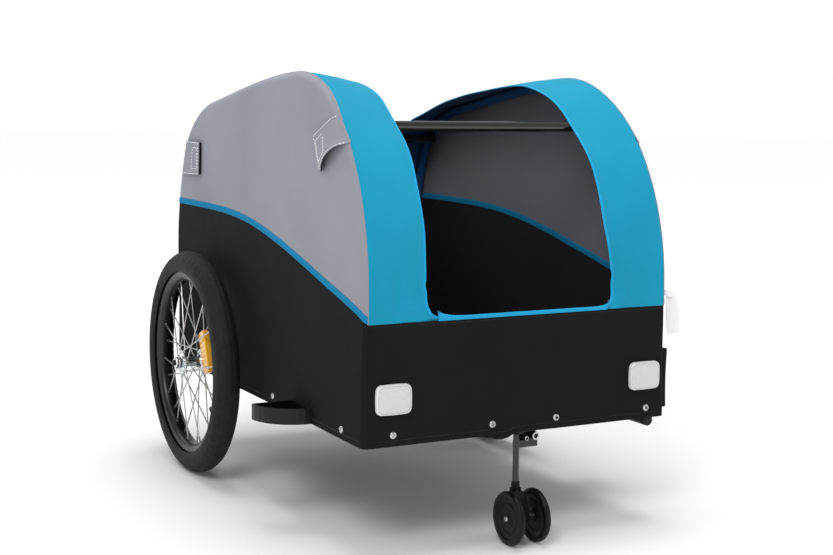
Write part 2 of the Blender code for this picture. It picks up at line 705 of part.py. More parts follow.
def build_caster_leg():
    """Upright rod with a flat arm that hinges on the fold bolt and bears up against the stop bolt."""
    paint = (BLACK_PAINT, 0.35, 0.2)
    eye = 0.0066
    top = STOP_Z - 0.0035 - GAP
    low = top - 0.011
    outline = [(SWIVEL_X - 0.004, low), (FOLD_X + eye, low)]
    steps = 6
    for i in range(steps + 1):
        a = math.pi * i / steps
        outline.append((FOLD_X + eye * math.cos(a), FOLD_Z + eye * math.sin(a)))
    outline += [(FOLD_X - eye, top), (SWIVEL_X - 0.004, top)]
    origin = (FOLD_X, SWIVEL_Y, FOLD_Z)
    leg = prism("caster_leg", "Y", outline, SWIVEL_Y - 0.004, SWIVEL_Y + 0.004, paint, origin)
    rod = turned("caster_rod", "Z", (SWIVEL_X, SWIVEL_Y), [(0.0705, 0.005), (0.1660, 0.005)], paint, segments=14)
    combine(leg, rod, "UNION")
    hole = turned("leg_hole", "Y", (FOLD_X, FOLD_Z), [(SWIVEL_Y - 0.01, 0.0037), (SWIVEL_Y + 0.01, 0.0037)],
                  paint, segments=14)
    combine(leg, hole, "DIFFERENCE")


def build_caster_yoke():
    """Swivel yoke: a collar round the rod and a body that reaches forward to the wheel axle."""
    plastic = ((0.015, 0.015, 0.015), 0.45)
    origin = (SWIVEL_X, SWIVEL_Y, 0.070)
    yoke = turned("caster_yoke", "Z", (SWIVEL_X, SWIVEL_Y),
                  [(0.0620, 0.0088), (0.0820, 0.0088), (0.0820, 0.0067), (0.0920, 0.0067)], plastic, origin, 16)
    outline = [(SWIVEL_Y + 0.008, 0.064), (SWIVEL_Y + 0.008, 0.076), (SWIVEL_Y - 0.008, 0.078),
               (CASTER_AXLE_Y - 0.009, 0.050), (CASTER_AXLE_Y - 0.009, 0.034), (CASTER_AXLE_Y + 0.007, 0.032)]
    half = 0.0085
    web = prism("yoke_web", "X", outline, SWIVEL_X - half, SWIVEL_X + half, plastic)
    combine(yoke, web, "UNION")
    bore = turned("yoke_bore", "Z", (SWIVEL_X, SWIVEL_Y), [(0.0700, 0.0053), (0.1000, 0.0053)], plastic, segments=14)
    combine(yoke, bore, "DIFFERENCE")
    axle_bore = turned("yoke_axle_bore", "X", (CASTER_AXLE_Y, CASTER_R),
                       [(SWIVEL_X - 0.02, 0.0033), (SWIVEL_X + 0.02, 0.0033)], plastic, segments=12)
    combine(yoke, axle_bore, "DIFFERENCE")


def build_caster_wheels():
    centre = (CASTER_AXLE_Y, CASTER_R)
    face = CASTER_HALF_GAP + CASTER_W / 2
    head_in = face - 0.0012
    tip = head_in + 0.0030
    turned("caster_axle", "X", centre,
           [(SWIVEL_X - tip, 0.0032), (SWIVEL_X - tip + 0.001, 0.0045), (SWIVEL_X - head_in, 0.0045),
            (SWIVEL_X - head_in, 0.0030), (SWIVEL_X + head_in, 0.0030), (SWIVEL_X + head_in, 0.0045),
            (SWIVEL_X + tip - 0.001, 0.0045), (SWIVEL_X + tip, 0.0032)],
           ((0.60, 0.60, 0.60), 0.3, 1.0), (SWIVEL_X, CASTER_AXLE_Y, CASTER_R), 12)
    half = CASTER_W / 2
    web = 0.0020
    crown = 0.0015
    section = [(-half + 0.0017, 0.0033), (-half + 0.0017, 0.0085), (-web, 0.0105), (-web, 0.0290),
               (-half, 0.0330), (-half, CASTER_R - 2 * crown), (-half + crown, CASTER_R),
               (half - crown, CASTER_R), (half, CASTER_R - 2 * crown), (half, 0.0330), (web, 0.0290),
               (web, 0.0105), (half - 0.0017, 0.0085), (half - 0.0017, 0.0033)]
    for side, sign in (("left", -1), ("right", 1)):
        x = SWIVEL_X + sign * CASTER_HALF_GAP
        turned("caster_wheel_" + side, "X", centre, [(x + a, r) for a, r in section],
               ((0.015, 0.015, 0.015), 0.5), (x, CASTER_AXLE_Y, CASTER_R), 24, bored=True)


def main():
    for obj in list(bpy.data.objects):
        bpy.data.objects.remove(obj)
    build_frame()
    build_hoops()
    build_crossbars()
    build_sides()
    build_end_walls()
    build_hood()
    build_piping()
    build_flag_sleeve()
    build_reflectors()
    build_screws()
    build_wheels()
    build_wheel_guards()
    build_tow_socket()
    build_caster_mount()
    build_caster_leg()
    build_caster_yoke()
    build_caster_wheels()
    for obj in bpy.data.objects:
        if obj.name.startswith(("side_lower", "side_upper", "tub_", "hood_band", "sill_strip", "piping")):
            lean_in(obj)


main()
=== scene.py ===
"""Looks of the bicycle cargo trailer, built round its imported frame. Metres, +Z up, nose towards -Y."""

from math import cos, exp, hypot, log, pi, radians, sin, sqrt

import bpy
import bmesh
from mathutils import Matrix, Vector, noise


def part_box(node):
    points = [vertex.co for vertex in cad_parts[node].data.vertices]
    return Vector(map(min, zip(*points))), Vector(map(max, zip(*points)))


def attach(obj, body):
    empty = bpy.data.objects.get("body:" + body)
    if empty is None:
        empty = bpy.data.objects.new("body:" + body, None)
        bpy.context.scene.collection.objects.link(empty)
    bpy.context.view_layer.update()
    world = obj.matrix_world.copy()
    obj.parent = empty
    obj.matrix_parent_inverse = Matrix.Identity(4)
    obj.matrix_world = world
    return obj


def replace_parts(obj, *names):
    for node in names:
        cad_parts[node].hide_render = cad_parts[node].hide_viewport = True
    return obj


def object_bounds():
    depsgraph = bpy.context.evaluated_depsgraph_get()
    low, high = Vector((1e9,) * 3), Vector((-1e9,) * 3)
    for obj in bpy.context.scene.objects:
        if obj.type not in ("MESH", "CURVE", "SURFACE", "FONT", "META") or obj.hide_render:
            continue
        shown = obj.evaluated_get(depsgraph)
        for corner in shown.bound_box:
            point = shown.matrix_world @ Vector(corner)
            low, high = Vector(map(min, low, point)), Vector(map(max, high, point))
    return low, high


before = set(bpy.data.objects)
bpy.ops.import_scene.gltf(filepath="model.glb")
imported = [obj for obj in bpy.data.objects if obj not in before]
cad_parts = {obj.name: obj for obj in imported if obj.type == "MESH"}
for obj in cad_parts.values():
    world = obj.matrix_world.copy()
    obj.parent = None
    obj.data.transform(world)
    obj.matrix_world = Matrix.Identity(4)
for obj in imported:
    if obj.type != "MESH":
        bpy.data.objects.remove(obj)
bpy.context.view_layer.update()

# ---- sizes, from the frame ---------------------------------------------------------------------
BODY_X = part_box("side_lower_right")[1].x        # outer face of the side cloth, at the frame
FRONT_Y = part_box("tub_front")[0].y
REAR_Y = 0.439          # outer face of the rear wall at the frame
HEM_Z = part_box("tub_front")[0].z
TUB_FRONT_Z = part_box("tub_front")[1].z
TUB_REAR_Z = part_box("tub_rear")[1].z
ROOF_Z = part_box("hood_band_right")[1].z
HOOP_FOOT_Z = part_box("hoop_right")[0].z
BAND_EDGE_X = 0.1685    # free edge of each hood band
HOOP_INSET = 0.0115
HOOP_R = 0.0075
LEAN = ((0.215, 0.0), (0.440, 0.0025), (0.580, 0.0050), (ROOF_Z, 0.0080))   # height, narrowing

CLOTH = 0.0009          # thickness of the cloth
CORNER_R = 0.011        # rounding between the walls
ROOF_PEAK = (-0.1215, ROOF_Z)
ARC_FOOT_Z = 0.377
ROOF_END = (0.2720, 0.6650)
ROOF_SLOPE = 0.144
SHOULDER = (0.404, 0.579)
SHOULDER_SLOPE = 1.155
REAR_SLACK = (0.4445, 0.385)
OPENING_CORNER = 0.030  # rounding of the opening's lower corners
STRAIGHT_Z = 0.290      # below this height the rear wall is straight
FLAT_X = BODY_X - CORNER_R - 0.0004     # half-width of the flat cloth between the corners
HEM_THREAD = (0.0034, 0.0020, 0.0003)   # stitch, gap and radius of the thread
BAND_THREAD = (0.0032, 0.0020, 0.00026)
STRAP_THREAD = (0.0043, 0.0016, 0.00058)
SPOKES = 28
FLANGE_R = 0.0175       # circle of the spoke holes
FLANGE_X = 0.01825
SIDES = (("left", -1), ("right", 1))


def vec(*numbers):
    return Vector(numbers)


def clamp(x):
    return max(0.0, min(1.0, x))


def smooth(t):
    return t * t * (3 - 2 * t)


def spread(low, high, count):
    """count + 1 evenly spaced numbers."""
    return [low + (high - low) * i / count for i in range(count + 1)]


def turns(count):
    """count evenly spaced angles of a full turn."""
    return [2 * pi * k / count for k in range(count)]


def measured(node):
    """Centre and half size of a CAD node."""
    low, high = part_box(node)
    return (low + high) / 2, (high - low) / 2


# ---- camera ------------------------------------------------------------------------------------
def add_camera():
    data = bpy.data.cameras.new("camera")
    data.sensor_width = 36.0
    data.lens = 60.49
    data.clip_start = 0.05
    data.clip_end = 100.0
    cam = bpy.data.objects.new("camera", data)
    turn = (Matrix.Rotation(radians(-28.18), 4, "Z") @ Matrix.Rotation(radians(83.27), 4, "X")
            @ Matrix.Rotation(radians(0.63), 4, "Z"))
    cam.matrix_world = Matrix.Translation((-1.131, -2.156, 0.651)) @ turn
    bpy.context.scene.collection.objects.link(cam)
    bpy.context.scene.camera = cam


# ---- materials ---------------------------------------------------------------------------------
def linear(hex_colour):
    """Linear RGBA of an sRGB colour written as RRGGBB."""
    out = []
    for i in (0, 2, 4):
        c = int(hex_colour[i:i + 2], 16) / 255
        out.append(c / 12.92 if c <= 0.04045 else ((c + 0.055) / 1.055) ** 2.4)
    return (*out, 1.0)


class Shader:
    """A small helper that adds nodes to one material."""

    def __init__(self, name, roughness=0.5, metallic=0.0, specular=0.5):
        self.material = bpy.data.materials.new(name)
        self.material.use_nodes = True
        self.tree = self.material.node_tree
        self.bsdf = self.tree.nodes["Principled BSDF"]
        self.bsdf.inputs["Roughness"].default_value = roughness
        self.bsdf.inputs["Metallic"].default_value = metallic
        self.bsdf.inputs["Specular IOR Level"].default_value = specular

    def node(self, kind, settings=None, **inputs):
        made = self.tree.nodes.new(kind)
        for key, value in (settings or {}).items():
            setattr(made, key, value)
        for key, value in inputs.items():
            socket = made.inputs[key.replace("_", " ")]
            if isinstance(value, bpy.types.NodeSocket):
                self.tree.links.new(value, socket)
            else:
                socket.default_value = value
        return made

    def math(self, operation, a, b):
        made = self.tree.nodes.new("ShaderNodeMath")
        made.operation = operation
        for socket, value in zip(made.inputs, (a, b)):
            if isinstance(value, bpy.types.NodeSocket):
                self.tree.links.new(value, socket)
            else:
                socket.default_value = value
        return made.outputs[0]

    def place(self):
        return self.node("ShaderNodeTexCoord").outputs["Object"]

    def noise(self, scale, detail=3.0, roughness=0.5):
        made = self.node("ShaderNodeTexNoise", Vector=self.place(), Scale=scale, Detail=detail,
                         Roughness=roughness)
        return made.outputs["Fac"]

    def ramp(self, fac, low, high, low_at=0.3, high_at=0.7):
        made = self.node("ShaderNodeValToRGB", Fac=fac)
        made.color_ramp.elements[0].position = low_at
        made.color_ramp.elements[1].position = high_at
        made.color_ramp.elements[0].color = low
        made.color_ramp.elements[1].color = high
        return made.outputs["Color"]

    def colour(self, socket):
        self.tree.links.new(socket, self.bsdf.inputs["Base Color"])

    def rough(self, fac, low, high):
        made = self.node("ShaderNodeMapRange", Value=fac, To_Min=low, To_Max=high)
        self.tree.links.new(made.outputs["Result"], self.bsdf.inputs["Roughness"])

    def bump(self, height, strength, distance):
        last = self.bsdf.inputs["Normal"]
        settings = {"Strength": strength, "Distance": distance, "Height": height}
        if last.is_linked:
            settings["Normal"] = last.links[0].from_socket
        made = self.node("ShaderNodeBump", **settings)
        self.tree.links.new(made.outputs["Normal"], last)

    def weave(self, pitch):
        """Threads over and under each other, along the three axes."""
        waves = []
        for axis in "XYZ":
            made = self.node("ShaderNodeTexWave", {"wave_type": "BANDS", "bands_direction": axis},
                             Vector=self.place(), Scale=0.31416 / pitch, Distortion=0.6, Detail=1.0)
            waves.append(made.outputs["Fac"])
        return self.math("ADD", self.math("MULTIPLY", waves[0], waves[2]), waves[1])


def scaled(colour, k):
    return (*(min(1.0, c * k) for c in colour[:3]), 1.0)


def cloth(name, hex_colour, roughness=0.82, pitch=0.0011, mottle=0.06, sheen=0.25, specular=0.25):
    """Coated plain-weave polyester: fine threads, slight mottling, soft sheen."""
    s = Shader(name, roughness, specular=specular)
    base = linear(hex_colour)
    broad = s.ramp(s.noise(7.0, 4.0), scaled(base, 1 - mottle), scaled(base, 1 + mottle))
    fine = s.ramp(s.noise(1400.0, 1.0), (0.90, 0.90, 0.90, 1), (1.0, 1.0, 1.0, 1))
    mix = s.node("ShaderNodeMix", {"data_type": "RGBA", "blend_type": "MULTIPLY"})
    mix.inputs["Factor"].default_value = 1.0
    s.tree.links.new(broad, mix.inputs["A"])
    s.tree.links.new(fine, mix.inputs["B"])
    s.colour(mix.outputs["Result"])
    s.rough(s.noise(30.0), roughness - 0.06, roughness + 0.06)
    s.bump(s.weave(pitch), 0.22, 0.0002)
    s.bump(s.noise(45.0, 5.0), 0.10, 0.0015)
    s.bsdf.inputs["Sheen Weight"].default_value = sheen
    s.bsdf.inputs["Sheen Roughness"].default_value = 0.6
    return s.material


def plastic(name, hex_colour, roughness=0.45, grain=900.0, depth=0.06, wear=0.25, specular=0.5):
    """Moulded plastic with a fine spark-eroded grain and lighter rubbed patches."""
    s = Shader(name, roughness, specular=specular)
    base = linear(hex_colour)
    s.colour(s.ramp(s.noise(14.0, 5.0), base, scaled(base, 1 + wear), 0.4, 0.8))
    s.rough(s.noise(60.0, 4.0), roughness - 0.08, roughness + 0.10)
    s.bump(s.noise(grain, 2.0), depth, 0.0002)
    return s.material


def metal(name, hex_colour, roughness=0.22, wear=0.12):
    s = Shader(name, roughness, 1.0)
    base = linear(hex_colour)
    s.colour(s.ramp(s.noise(40.0, 4.0), scaled(base, 1 - wear), base))
    s.rough(s.noise(120.0, 3.0), roughness * 0.7, roughness * 1.5)
    s.bump(s.noise(500.0, 2.0), 0.05, 0.0001)
    return s.material


def paint(name, hex_colour, roughness=0.3, coat=0.4):
    s = Shader(name, roughness)
    base = linear(hex_colour)
    s.colour(s.ramp(s.noise(18.0, 4.0), base, scaled(base, 1.25)))
    s.rough(s.noise(90.0, 3.0), roughness - 0.05, roughness + 0.08)
    s.bump(s.noise(350.0, 3.0), 0.06, 0.0003)
    s.bsdf.inputs["Coat Weight"].default_value = coat
    s.bsdf.inputs["Coat Roughness"].default_value = 0.12
    return s.material


def reflector(name, hex_colour, roughness=0.16):
    """Prismatic reflector plastic: a clear gloss over small cube-corner cells."""
    s = Shader(name, roughness)
    base = linear(hex_colour)
    cells = s.node("ShaderNodeTexVoronoi", {"feature": "DISTANCE_TO_EDGE"}, Vector=s.place(), Scale=560.0)
    s.colour(s.ramp(cells.outputs["Distance"], scaled(base, 0.86), base, 0.0, 0.25))
    s.rough(s.noise(200.0, 2.0), roughness - 0.04, roughness + 0.08)
    s.bump(cells.outputs["Distance"], 0.12, 0.0004)
    s.bsdf.inputs["Coat Weight"].default_value = 0.6
    s.bsdf.inputs["Coat Roughness"].default_value = 0.08
    return s.material


def rubber(name, hex_colour, dust):
    s = Shader(name, 0.8, specular=0.3)
    base = linear(hex_colour)
    s.colour(s.ramp(s.noise(26.0, 6.0, 0.65), base, scaled(base, dust), 0.42, 0.75))
    s.rough(s.noise(80.0, 4.0), 0.62, 0.88)
    s.bump(s.noise(700.0, 3.0), 0.12, 0.0003)
    return s.material


M = {
    "grey": cloth("grey_cloth", "8f919a", sheen=0.04),
    # inner face of the grey cloth, darker than its outer face: partly a coated back, partly painted shade of
    # the body's inside
    "grey_lining_shaded": cloth("grey_lining_shaded", "6a6c74", sheen=0.1),
    "black": cloth("black_cloth", "151616", sheen=0.0, specular=0.12),
    "black_lining": cloth("black_lining", "171717", sheen=0.0),
    "blue": cloth("blue_cloth", "0f91b3", sheen=0.02, specular=0.18),
    # inner face of the blue cloth, darker than its outer face: partly a coated back, partly painted shade of
    # the body's inside
    "blue_lining": cloth("blue_lining", "14548a", sheen=0.03),
    "binding": cloth("blue_binding", "109ccc", pitch=0.0008, mottle=0.03, sheen=0.05),
    "tape": cloth("blue_tape", "0a80ae", pitch=0.0008, mottle=0.04, sheen=0.0, specular=0.12),
    "welt": cloth("welt", "8d8a94", pitch=0.0007, mottle=0.03),
    "thread_white": cloth("thread_white", "f4f4f6", pitch=0.0006, mottle=0.02),
    "thread_grey": cloth("thread_grey", "7d8088", pitch=0.0006, mottle=0.02),
    "thread_blue": cloth("thread_blue", "1a86b8", pitch=0.0006, mottle=0.02),
    "thread_black": cloth("thread_black", "1a1a1a", pitch=0.0006, mottle=0.02),
    "tag": cloth("tag_cloth", "f2f0f2", pitch=0.0007, mottle=0.01),
    "hook": cloth("hook_tape", "0a0a0b", pitch=0.0016, sheen=0.0, specular=0.1),
    "floor": plastic("floor_panel", "1b1b1c", 0.7, 500.0, 0.25),
    "moulded": plastic("moulded_black", "09090a", 0.42, specular=0.3),
    "caster": plastic("caster_black", "060606", 0.40, 700.0, 0.06, 0.6, specular=0.22),
    "frame": paint("frame_paint", "090909", 0.34, 0.25),
    "bar": paint("bar_paint", "0b0b0b", 0.14, 0.7),
    "tread": rubber("tyre_tread", "111212", 1.6),
    "wall": rubber("tyre_wall", "161818", 1.35),
    "rim": metal("rim_anodised", "3c3d3e", 0.32),
    "spoke": metal("spoke_steel", "c4c5c6", 0.30),
    "hub": metal("hub_alloy", "dfe2e4", 0.14),
    "zinc": metal("zinc", "c6c7c6", 0.26),
    "nipple": metal("nipple_brass", "8f9193", 0.32),
    "white_lens": reflector("white_lens", "cfd1d0"),
    "white_rim": plastic("white_rim", "dcdedd", 0.3, 300.0, 0.03, 0.05),
    "red_lens": reflector("red_lens", "8a0606"),
    "red_rim": plastic("red_rim", "5e0505", 0.3, 300.0, 0.03, 0.1),
    "amber_lens": reflector("amber_lens", "efae12"),
    "amber_edge": plastic("amber_edge", "e8b04a", 0.25, 300.0, 0.03, 0.1),
}


# ---- mesh helpers ------------------------------------------------------------------------------
def make(name, verts, faces, materials, body="body", slot=None, smooth_deg=40.0, face_material=None):
    mesh = bpy.data.meshes.new(name)
    mesh.from_pydata([tuple(v) for v in verts], [], faces)
    for key in ([materials] if isinstance(materials, str) else materials):
        mesh.materials.append(M[key])
    if face_material is not None:
        mesh.polygons.foreach_set("material_index", face_material)
    bm = bmesh.new()
    bm.from_mesh(mesh)
    bmesh.ops.recalc_face_normals(bm, faces=bm.faces)
    bm.to_mesh(mesh)
    bm.free()
    mesh.shade_smooth()
    mesh.set_sharp_from_angle(angle=radians(smooth_deg))
    obj = bpy.data.objects.new(name, mesh)
    bpy.context.scene.collection.objects.link(obj)
    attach(obj, body)
    return obj


def skin(rings, cyclic=False, closed=True):
    """Verts and quads through equal rings of points. closed joins each ring's ends, cyclic the rings'."""
    count = len(rings[0])
    verts = [p for ring in rings for p in ring]
    faces = []
    for i in range(len(rings) if cyclic else len(rings) - 1):
        j = (i + 1) % len(rings)
        for k in range(count if closed else count - 1):
            m = (k + 1) % count
            faces.append((i * count + k, i * count + m, j * count + m, j * count + k))
    if closed and not cyclic:
        faces.append(tuple(range(count))[::-1])
        faces.append(tuple((len(rings) - 1) * count + k for k in range(count)))
    return verts, faces


def cloth_panel(name, grid, normals, outside, inside, slot, thickness=CLOTH):
    """A sheet of cloth with two faces and a rim. grid is rows of points on its outer face."""
    verts, faces = slab(grid, normals, thickness)
    both = 2 * (len(grid) - 1) * (len(grid[0]) - 1)
    marks = [i % 2 if i < both else 0 for i in range(len(faces))]
    return make(name, verts, faces, (outside, inside), "body", slot, 50.0, marks)


def slab(grid, normals, thickness):
    """Verts and faces of a closed sheet under a grid of points. normals is a grid or one direction."""
    rows = len(grid)
    cols = len(grid[0])
    if isinstance(normals, Vector):
        normals = [[normals] * cols] * rows
    verts = [p for row in grid for p in row]
    verts += [p - n * thickness for row, row_n in zip(grid, normals) for p, n in zip(row, row_n)]
    size = rows * cols
    faces = []
    for i in range(rows - 1):
        for k in range(cols - 1):
            a = i * cols + k
            quad = (a, a + 1, a + cols + 1, a + cols)
            faces += [quad, tuple(v + size for v in quad[::-1])]
    rim = [*range(cols), *range(2 * cols - 1, size, cols), *range(size - 2, size - cols - 1, -1),
           *range(size - 2 * cols, 0, -cols)]
    return verts, faces + [(b, a, a + size, b + size) for a, b in zip(rim, rim[1:] + rim[:1])]


def ring_points(centre, axis, side, radius, count):
    other = axis.cross(side).normalized()
    return [centre + radius * (side * cos(a) + other * sin(a)) for a in turns(count)]


def direction(points, i):
    """Unit direction of a line of points at one of them."""
    return (points[min(i + 1, len(points) - 1)] - points[max(i - 1, 0)]).normalized()


def tube_mesh(points, radius, sides=8):
    """Verts and faces of a round tube along points. radius may be a list."""
    radii = radius if isinstance(radius, list) else [radius] * len(points)
    side = direction(points, 0).orthogonal().normalized()
    rings = []
    for i, p in enumerate(points):
        along = direction(points, i)
        side = (side - along * side.dot(along)).normalized()
        rings.append(ring_points(p, along, side, radii[i], sides))
    return skin(rings)


def merge(parts):
    """Joins several (verts, faces) into one."""
    verts = []
    faces = []
    for v, f in parts:
        base = len(verts)
        verts += v
        faces += [tuple(i + base for i in face) for face in f]
    return verts, faces


def turned(axis, centre, profile, segments, closed=False):
    """Verts and faces of a profile of (along, radius) turned about an axis through centre."""
    along, side = (vec(1, 0, 0), vec(0, 1, 0)) if axis == "X" else (vec(0, 1, 0), vec(1, 0, 0))
    rings = [ring_points(centre + along * a, along, side, r, segments) for a, r in profile]
    return skin(rings, cyclic=closed)


def mirrored(profile):
    """A profile of (along, radius) with its mirror image after it. The last point is in the middle."""
    return profile + [(-a, r) for a, r in profile[-2::-1]]


def resample(points, count):
    """Evenly spaced points along a polyline."""
    lengths = [0.0]
    for p, q in zip(points, points[1:]):
        lengths.append(lengths[-1] + (q - p).length)
    out = []
    k = 0
    for i in range(count):
        at = lengths[-1] * i / (count - 1)
        while k < len(points) - 2 and lengths[k + 1] < at:
            k += 1
        span = max(lengths[k + 1] - lengths[k], 1e-9)
        out.append(points[k].lerp(points[k + 1], min(1.0, (at - lengths[k]) / span)))
    return out


def arc_length(points):
    return sum((q - p).length for p, q in zip(points, points[1:]))


def knots(share, pairs):
    """Smooth value between a few (share, value) pairs."""
    for (a, u), (b, v) in zip(pairs, pairs[1:]):
        if share <= b:
            return u + (v - u) * smooth(max(0.0, (share - a) / (b - a)))
    return pairs[-1][1]


def bezier(p0, h0, h1, p1, count):
    out = []
    for i in range(count):
        t = i / count
        s = 1 - t
        out.append(p0 * s ** 3 + h0 * 3 * s * s * t + h1 * 3 * s * t * t + p1 * t ** 3)
    return out


def stitch_row(points, normals, stitch, gap, radius):
    """Short raised threads along a line, each a little arched. normals is a list or one direction."""
    if isinstance(normals, Vector):
        normals = [normals] * len(points)
    total = arc_length(points)
    parts = []
    at = gap
    dense = resample(points, max(8, int(total / 0.0008)))
    dense_n = resample(normals, len(dense))
    step = total / (len(dense) - 1)
    while at + stitch < total:
        i = int(at / step)
        j = min(len(dense) - 1, int((at + stitch) / step))
        mid = (i + j) // 2
        lift = dense_n[mid].normalized() * radius
        parts.append(tube_mesh([dense[i] - lift, dense[mid] + lift, dense[j] - lift],
                               [radius * 0.7, radius, radius * 0.7], 5))
        at += stitch + gap
    return merge(parts)


def path(corners, counts):
    """Points along the lines between corners, each line in its own count of steps."""
    points = [Vector(corners[0])]
    for p, q, count in zip(corners, corners[1:], counts):
        points += [Vector(p).lerp(Vector(q), i / count) for i in range(1, count + 1)]
    return points


# ---- the body's outline ------------------------------------------------------------------------
def downhill(slope):
    return vec(cos(slope), -sin(slope))


def rear_outline():
    """Outer line of the rear wall in (y, z), from its shoulder down to the hem."""
    slack = Vector(REAR_SLACK)
    top = Vector(SHOULDER)
    straight = vec(REAR_Y, STRAIGHT_Z)
    back = bezier(top, top + 0.08 * downhill(SHOULDER_SLOPE), slack + vec(0, 0.08), slack, 40)
    back += bezier(slack, slack - vec(0, 0.03), straight + vec(0, 0.035), straight, 10)
    return back + [vec(REAR_Y, z) for z in spread(STRAIGHT_Z, HEM_Z, 8)]


def hood_outline():
    """Outer line of the hood in (y, z), from the front sill over the roof to the top of the rear wall."""
    peak = Vector(ROOF_PEAK)
    end = Vector(ROOF_END)
    top = Vector(SHOULDER)
    flat = downhill(ROOF_SLOPE)
    line = [vec(FRONT_Y, z) for z in spread(TUB_FRONT_Z, ARC_FOOT_Z, 6)[:-1]]
    for angle in spread(0, pi / 2, 60)[:-1]:
        line.append(vec(peak.x - (peak.x - FRONT_Y) * cos(angle),
                        ARC_FOOT_Z + (peak.y - ARC_FOOT_Z) * sin(angle)))
    line += bezier(peak, peak + vec(0.124, 0), end - 0.10 * flat, end, 40)
    line += bezier(end, end + 0.052 * flat, top - 0.046 * downhill(SHOULDER_SLOPE), top, 30)
    return line + [p for p in rear_outline() if p.y > TUB_REAR_Z]


def normals_in(points):
    out = []
    for i in range(len(points)):
        along = direction(points, i)
        out.append(vec(along.y, -along.x))
    return out


def moved_in(points, depth):
    return [p + n * depth for p, n in zip(points, normals_in(points))]


def lean(z):
    """How much narrower half the body is at a height than at the frame."""
    for (z0, d0), (z1, d1) in zip(LEAN, LEAN[1:]):
        if z <= z1:
            return d0 + (d1 - d0) * max(0.0, z - z0) / (z1 - z0)
    return LEAN[-1][1]


def flare(y, z):
    """The hem stands a little wide of the frame towards the nose."""
    return 0.0026 * max(0.0, 1 - (z - HEM_Z) / 0.10) * exp(-((y - FRONT_Y) / 0.17) ** 2)


def lean_in(p):
    """The same point of the body after its sides lean inwards and its hem flares."""
    return vec(p.x * (1 + (flare(p.y, p.z) - lean(p.z)) / BODY_X), p.y, p.z)


def seam_z(y):
    """Height of the S-shaped seam between the black and the grey side cloth."""
    a = TUB_REAR_Z
    b = 0.407 + 0.255 * (y + 0.206)
    soft = 0.018
    end = 0.0040 * exp(-(y - FRONT_Y) / 0.016)
    return -soft * log(exp(-a / soft) + exp(-b / soft)) - end


HOOD = resample(hood_outline(), 170)
HOOD_IN = normals_in(HOOD)
DROOP = ((0.0, 0.003), (0.03, 0.010), (0.13, 0.0130), (0.20, 0.0120), (0.29, 0.0175), (0.36, 0.0165),
         (0.45, 0.0135), (0.64, 0.0122), (0.82, 0.0278), (0.87, 0.0272), (1.0, 0.004))


def side_relief(y, z):
    """How far the side cloth stands out of its plane: a slack middle and a few soft creases."""
    slack = (-0.0022 * sin(pi * clamp((y - FRONT_Y) / (REAR_Y - FRONT_Y)))
             * sin(pi * clamp((z - HEM_Z) / (ROOF_Z - HEM_Z))))
    broad = 0.0012 * noise.noise(vec(y * 6, z * 7, 1.3))
    crease = 0.0005 * noise.noise(vec(y * 30 + z * 12, z * 16 - y * 10, 7.1))
    pull = (0.0008 * exp(-((y + 0.27) ** 2 + (z - 0.60) ** 2) / 0.004)
            * sin(70 * (y + 0.27) + 110 * (z - 0.60)))
    return slack + broad + crease + pull


def front_relief(x, z):
    """Front wall: soft waves, a sag of the hem beside the caster and an arch pressed over its bracket."""
    broad = 0.0012 * noise.noise(vec(x * 7, z * 9, 4.2))
    crease = 0.0004 * noise.noise(vec(x * 34, z * 20, 9.4))
    arch = hypot((x - 0.022) / 0.034, (z - 0.168) / 0.020)
    return broad + crease + 0.0016 * exp(-((arch - 1) / 0.22) ** 2)


def hem_sag(x):
    return -0.0075 * exp(-((x + 0.038) / 0.018) ** 4) + 0.0010 * exp(-((x - 0.020) / 0.03) ** 2)


# ---- fabric ------------------------------------------------------------------------------------
def side_point(sign, y, z, lift=0.0):
    """A point of the side cloth. Close to the nose it turns round the corner."""
    depth = y - FRONT_Y
    if depth >= CORNER_R:
        return lean_in(vec(sign * (BODY_X - 0.0004 + side_relief(y, z) + lift), y, z))
    forward = 1 - max(0.0, depth) / CORNER_R
    r = CORNER_R - 0.0004 + lift + side_relief(y, z)
    return lean_in(vec(sign * (BODY_X - CORNER_R + r * sqrt(1 - forward * forward)),
                       FRONT_Y + CORNER_R - r * forward, z))


def side_grid(sign, columns, low, high, rows):
    """Rows of points of a side panel between two edge functions of y."""
    grid = []
    for t in spread(0, 1, rows):
        row = []
        for y in columns:
            z = low(y) + (high(y) - low(y)) * t
            back = max(0.0, (y - 0.30) / (REAR_SLACK[0] - CORNER_R - 0.30)) ** 2
            row.append(side_point(sign, y - back * rear_step(z), z))
        grid.append(row)
    return grid


def rear_step(z):
    """How far the rear wall is in front of its most slack place, below that place."""
    return (REAR_SLACK[0] - REAR_Y) * smooth(clamp((REAR_SLACK[1] - z) / (REAR_SLACK[1] - STRAIGHT_Z)))


def rear_height(y):
    """Height at which the rear wall's inset outline passes a depth, counted from its most slack place up."""
    line = [p for p in moved_in(rear_outline(), CORNER_R) if p.y >= REAR_SLACK[1]]
    for p, q in zip(line, line[1:]):
        if p.x <= y <= q.x and q.x > p.x:
            return p.y + (q.y - p.y) * (y - p.x) / (q.x - p.x)
    return 1.0 if y < line[0].x else REAR_SLACK[1]


def seam_angle(share):
    """Where the corner seam lies on the rounding: 0 is the top or front face, 90 the side."""
    return radians(42 - 34 * smooth(clamp((share - 0.24) / 0.10)))


def corner_point(sign, p, n, angle, lift=0.0):
    """A point of the rounding between a side and the hood, at an outline point p with inward normal n."""
    r = CORNER_R + lift
    depth = CORNER_R - r * cos(angle) + 0.0003
    return lean_in(vec(sign * (BODY_X - 0.0004 - CORNER_R + r * sin(angle)), p.x + n.x * depth,
                           p.y + n.y * depth))


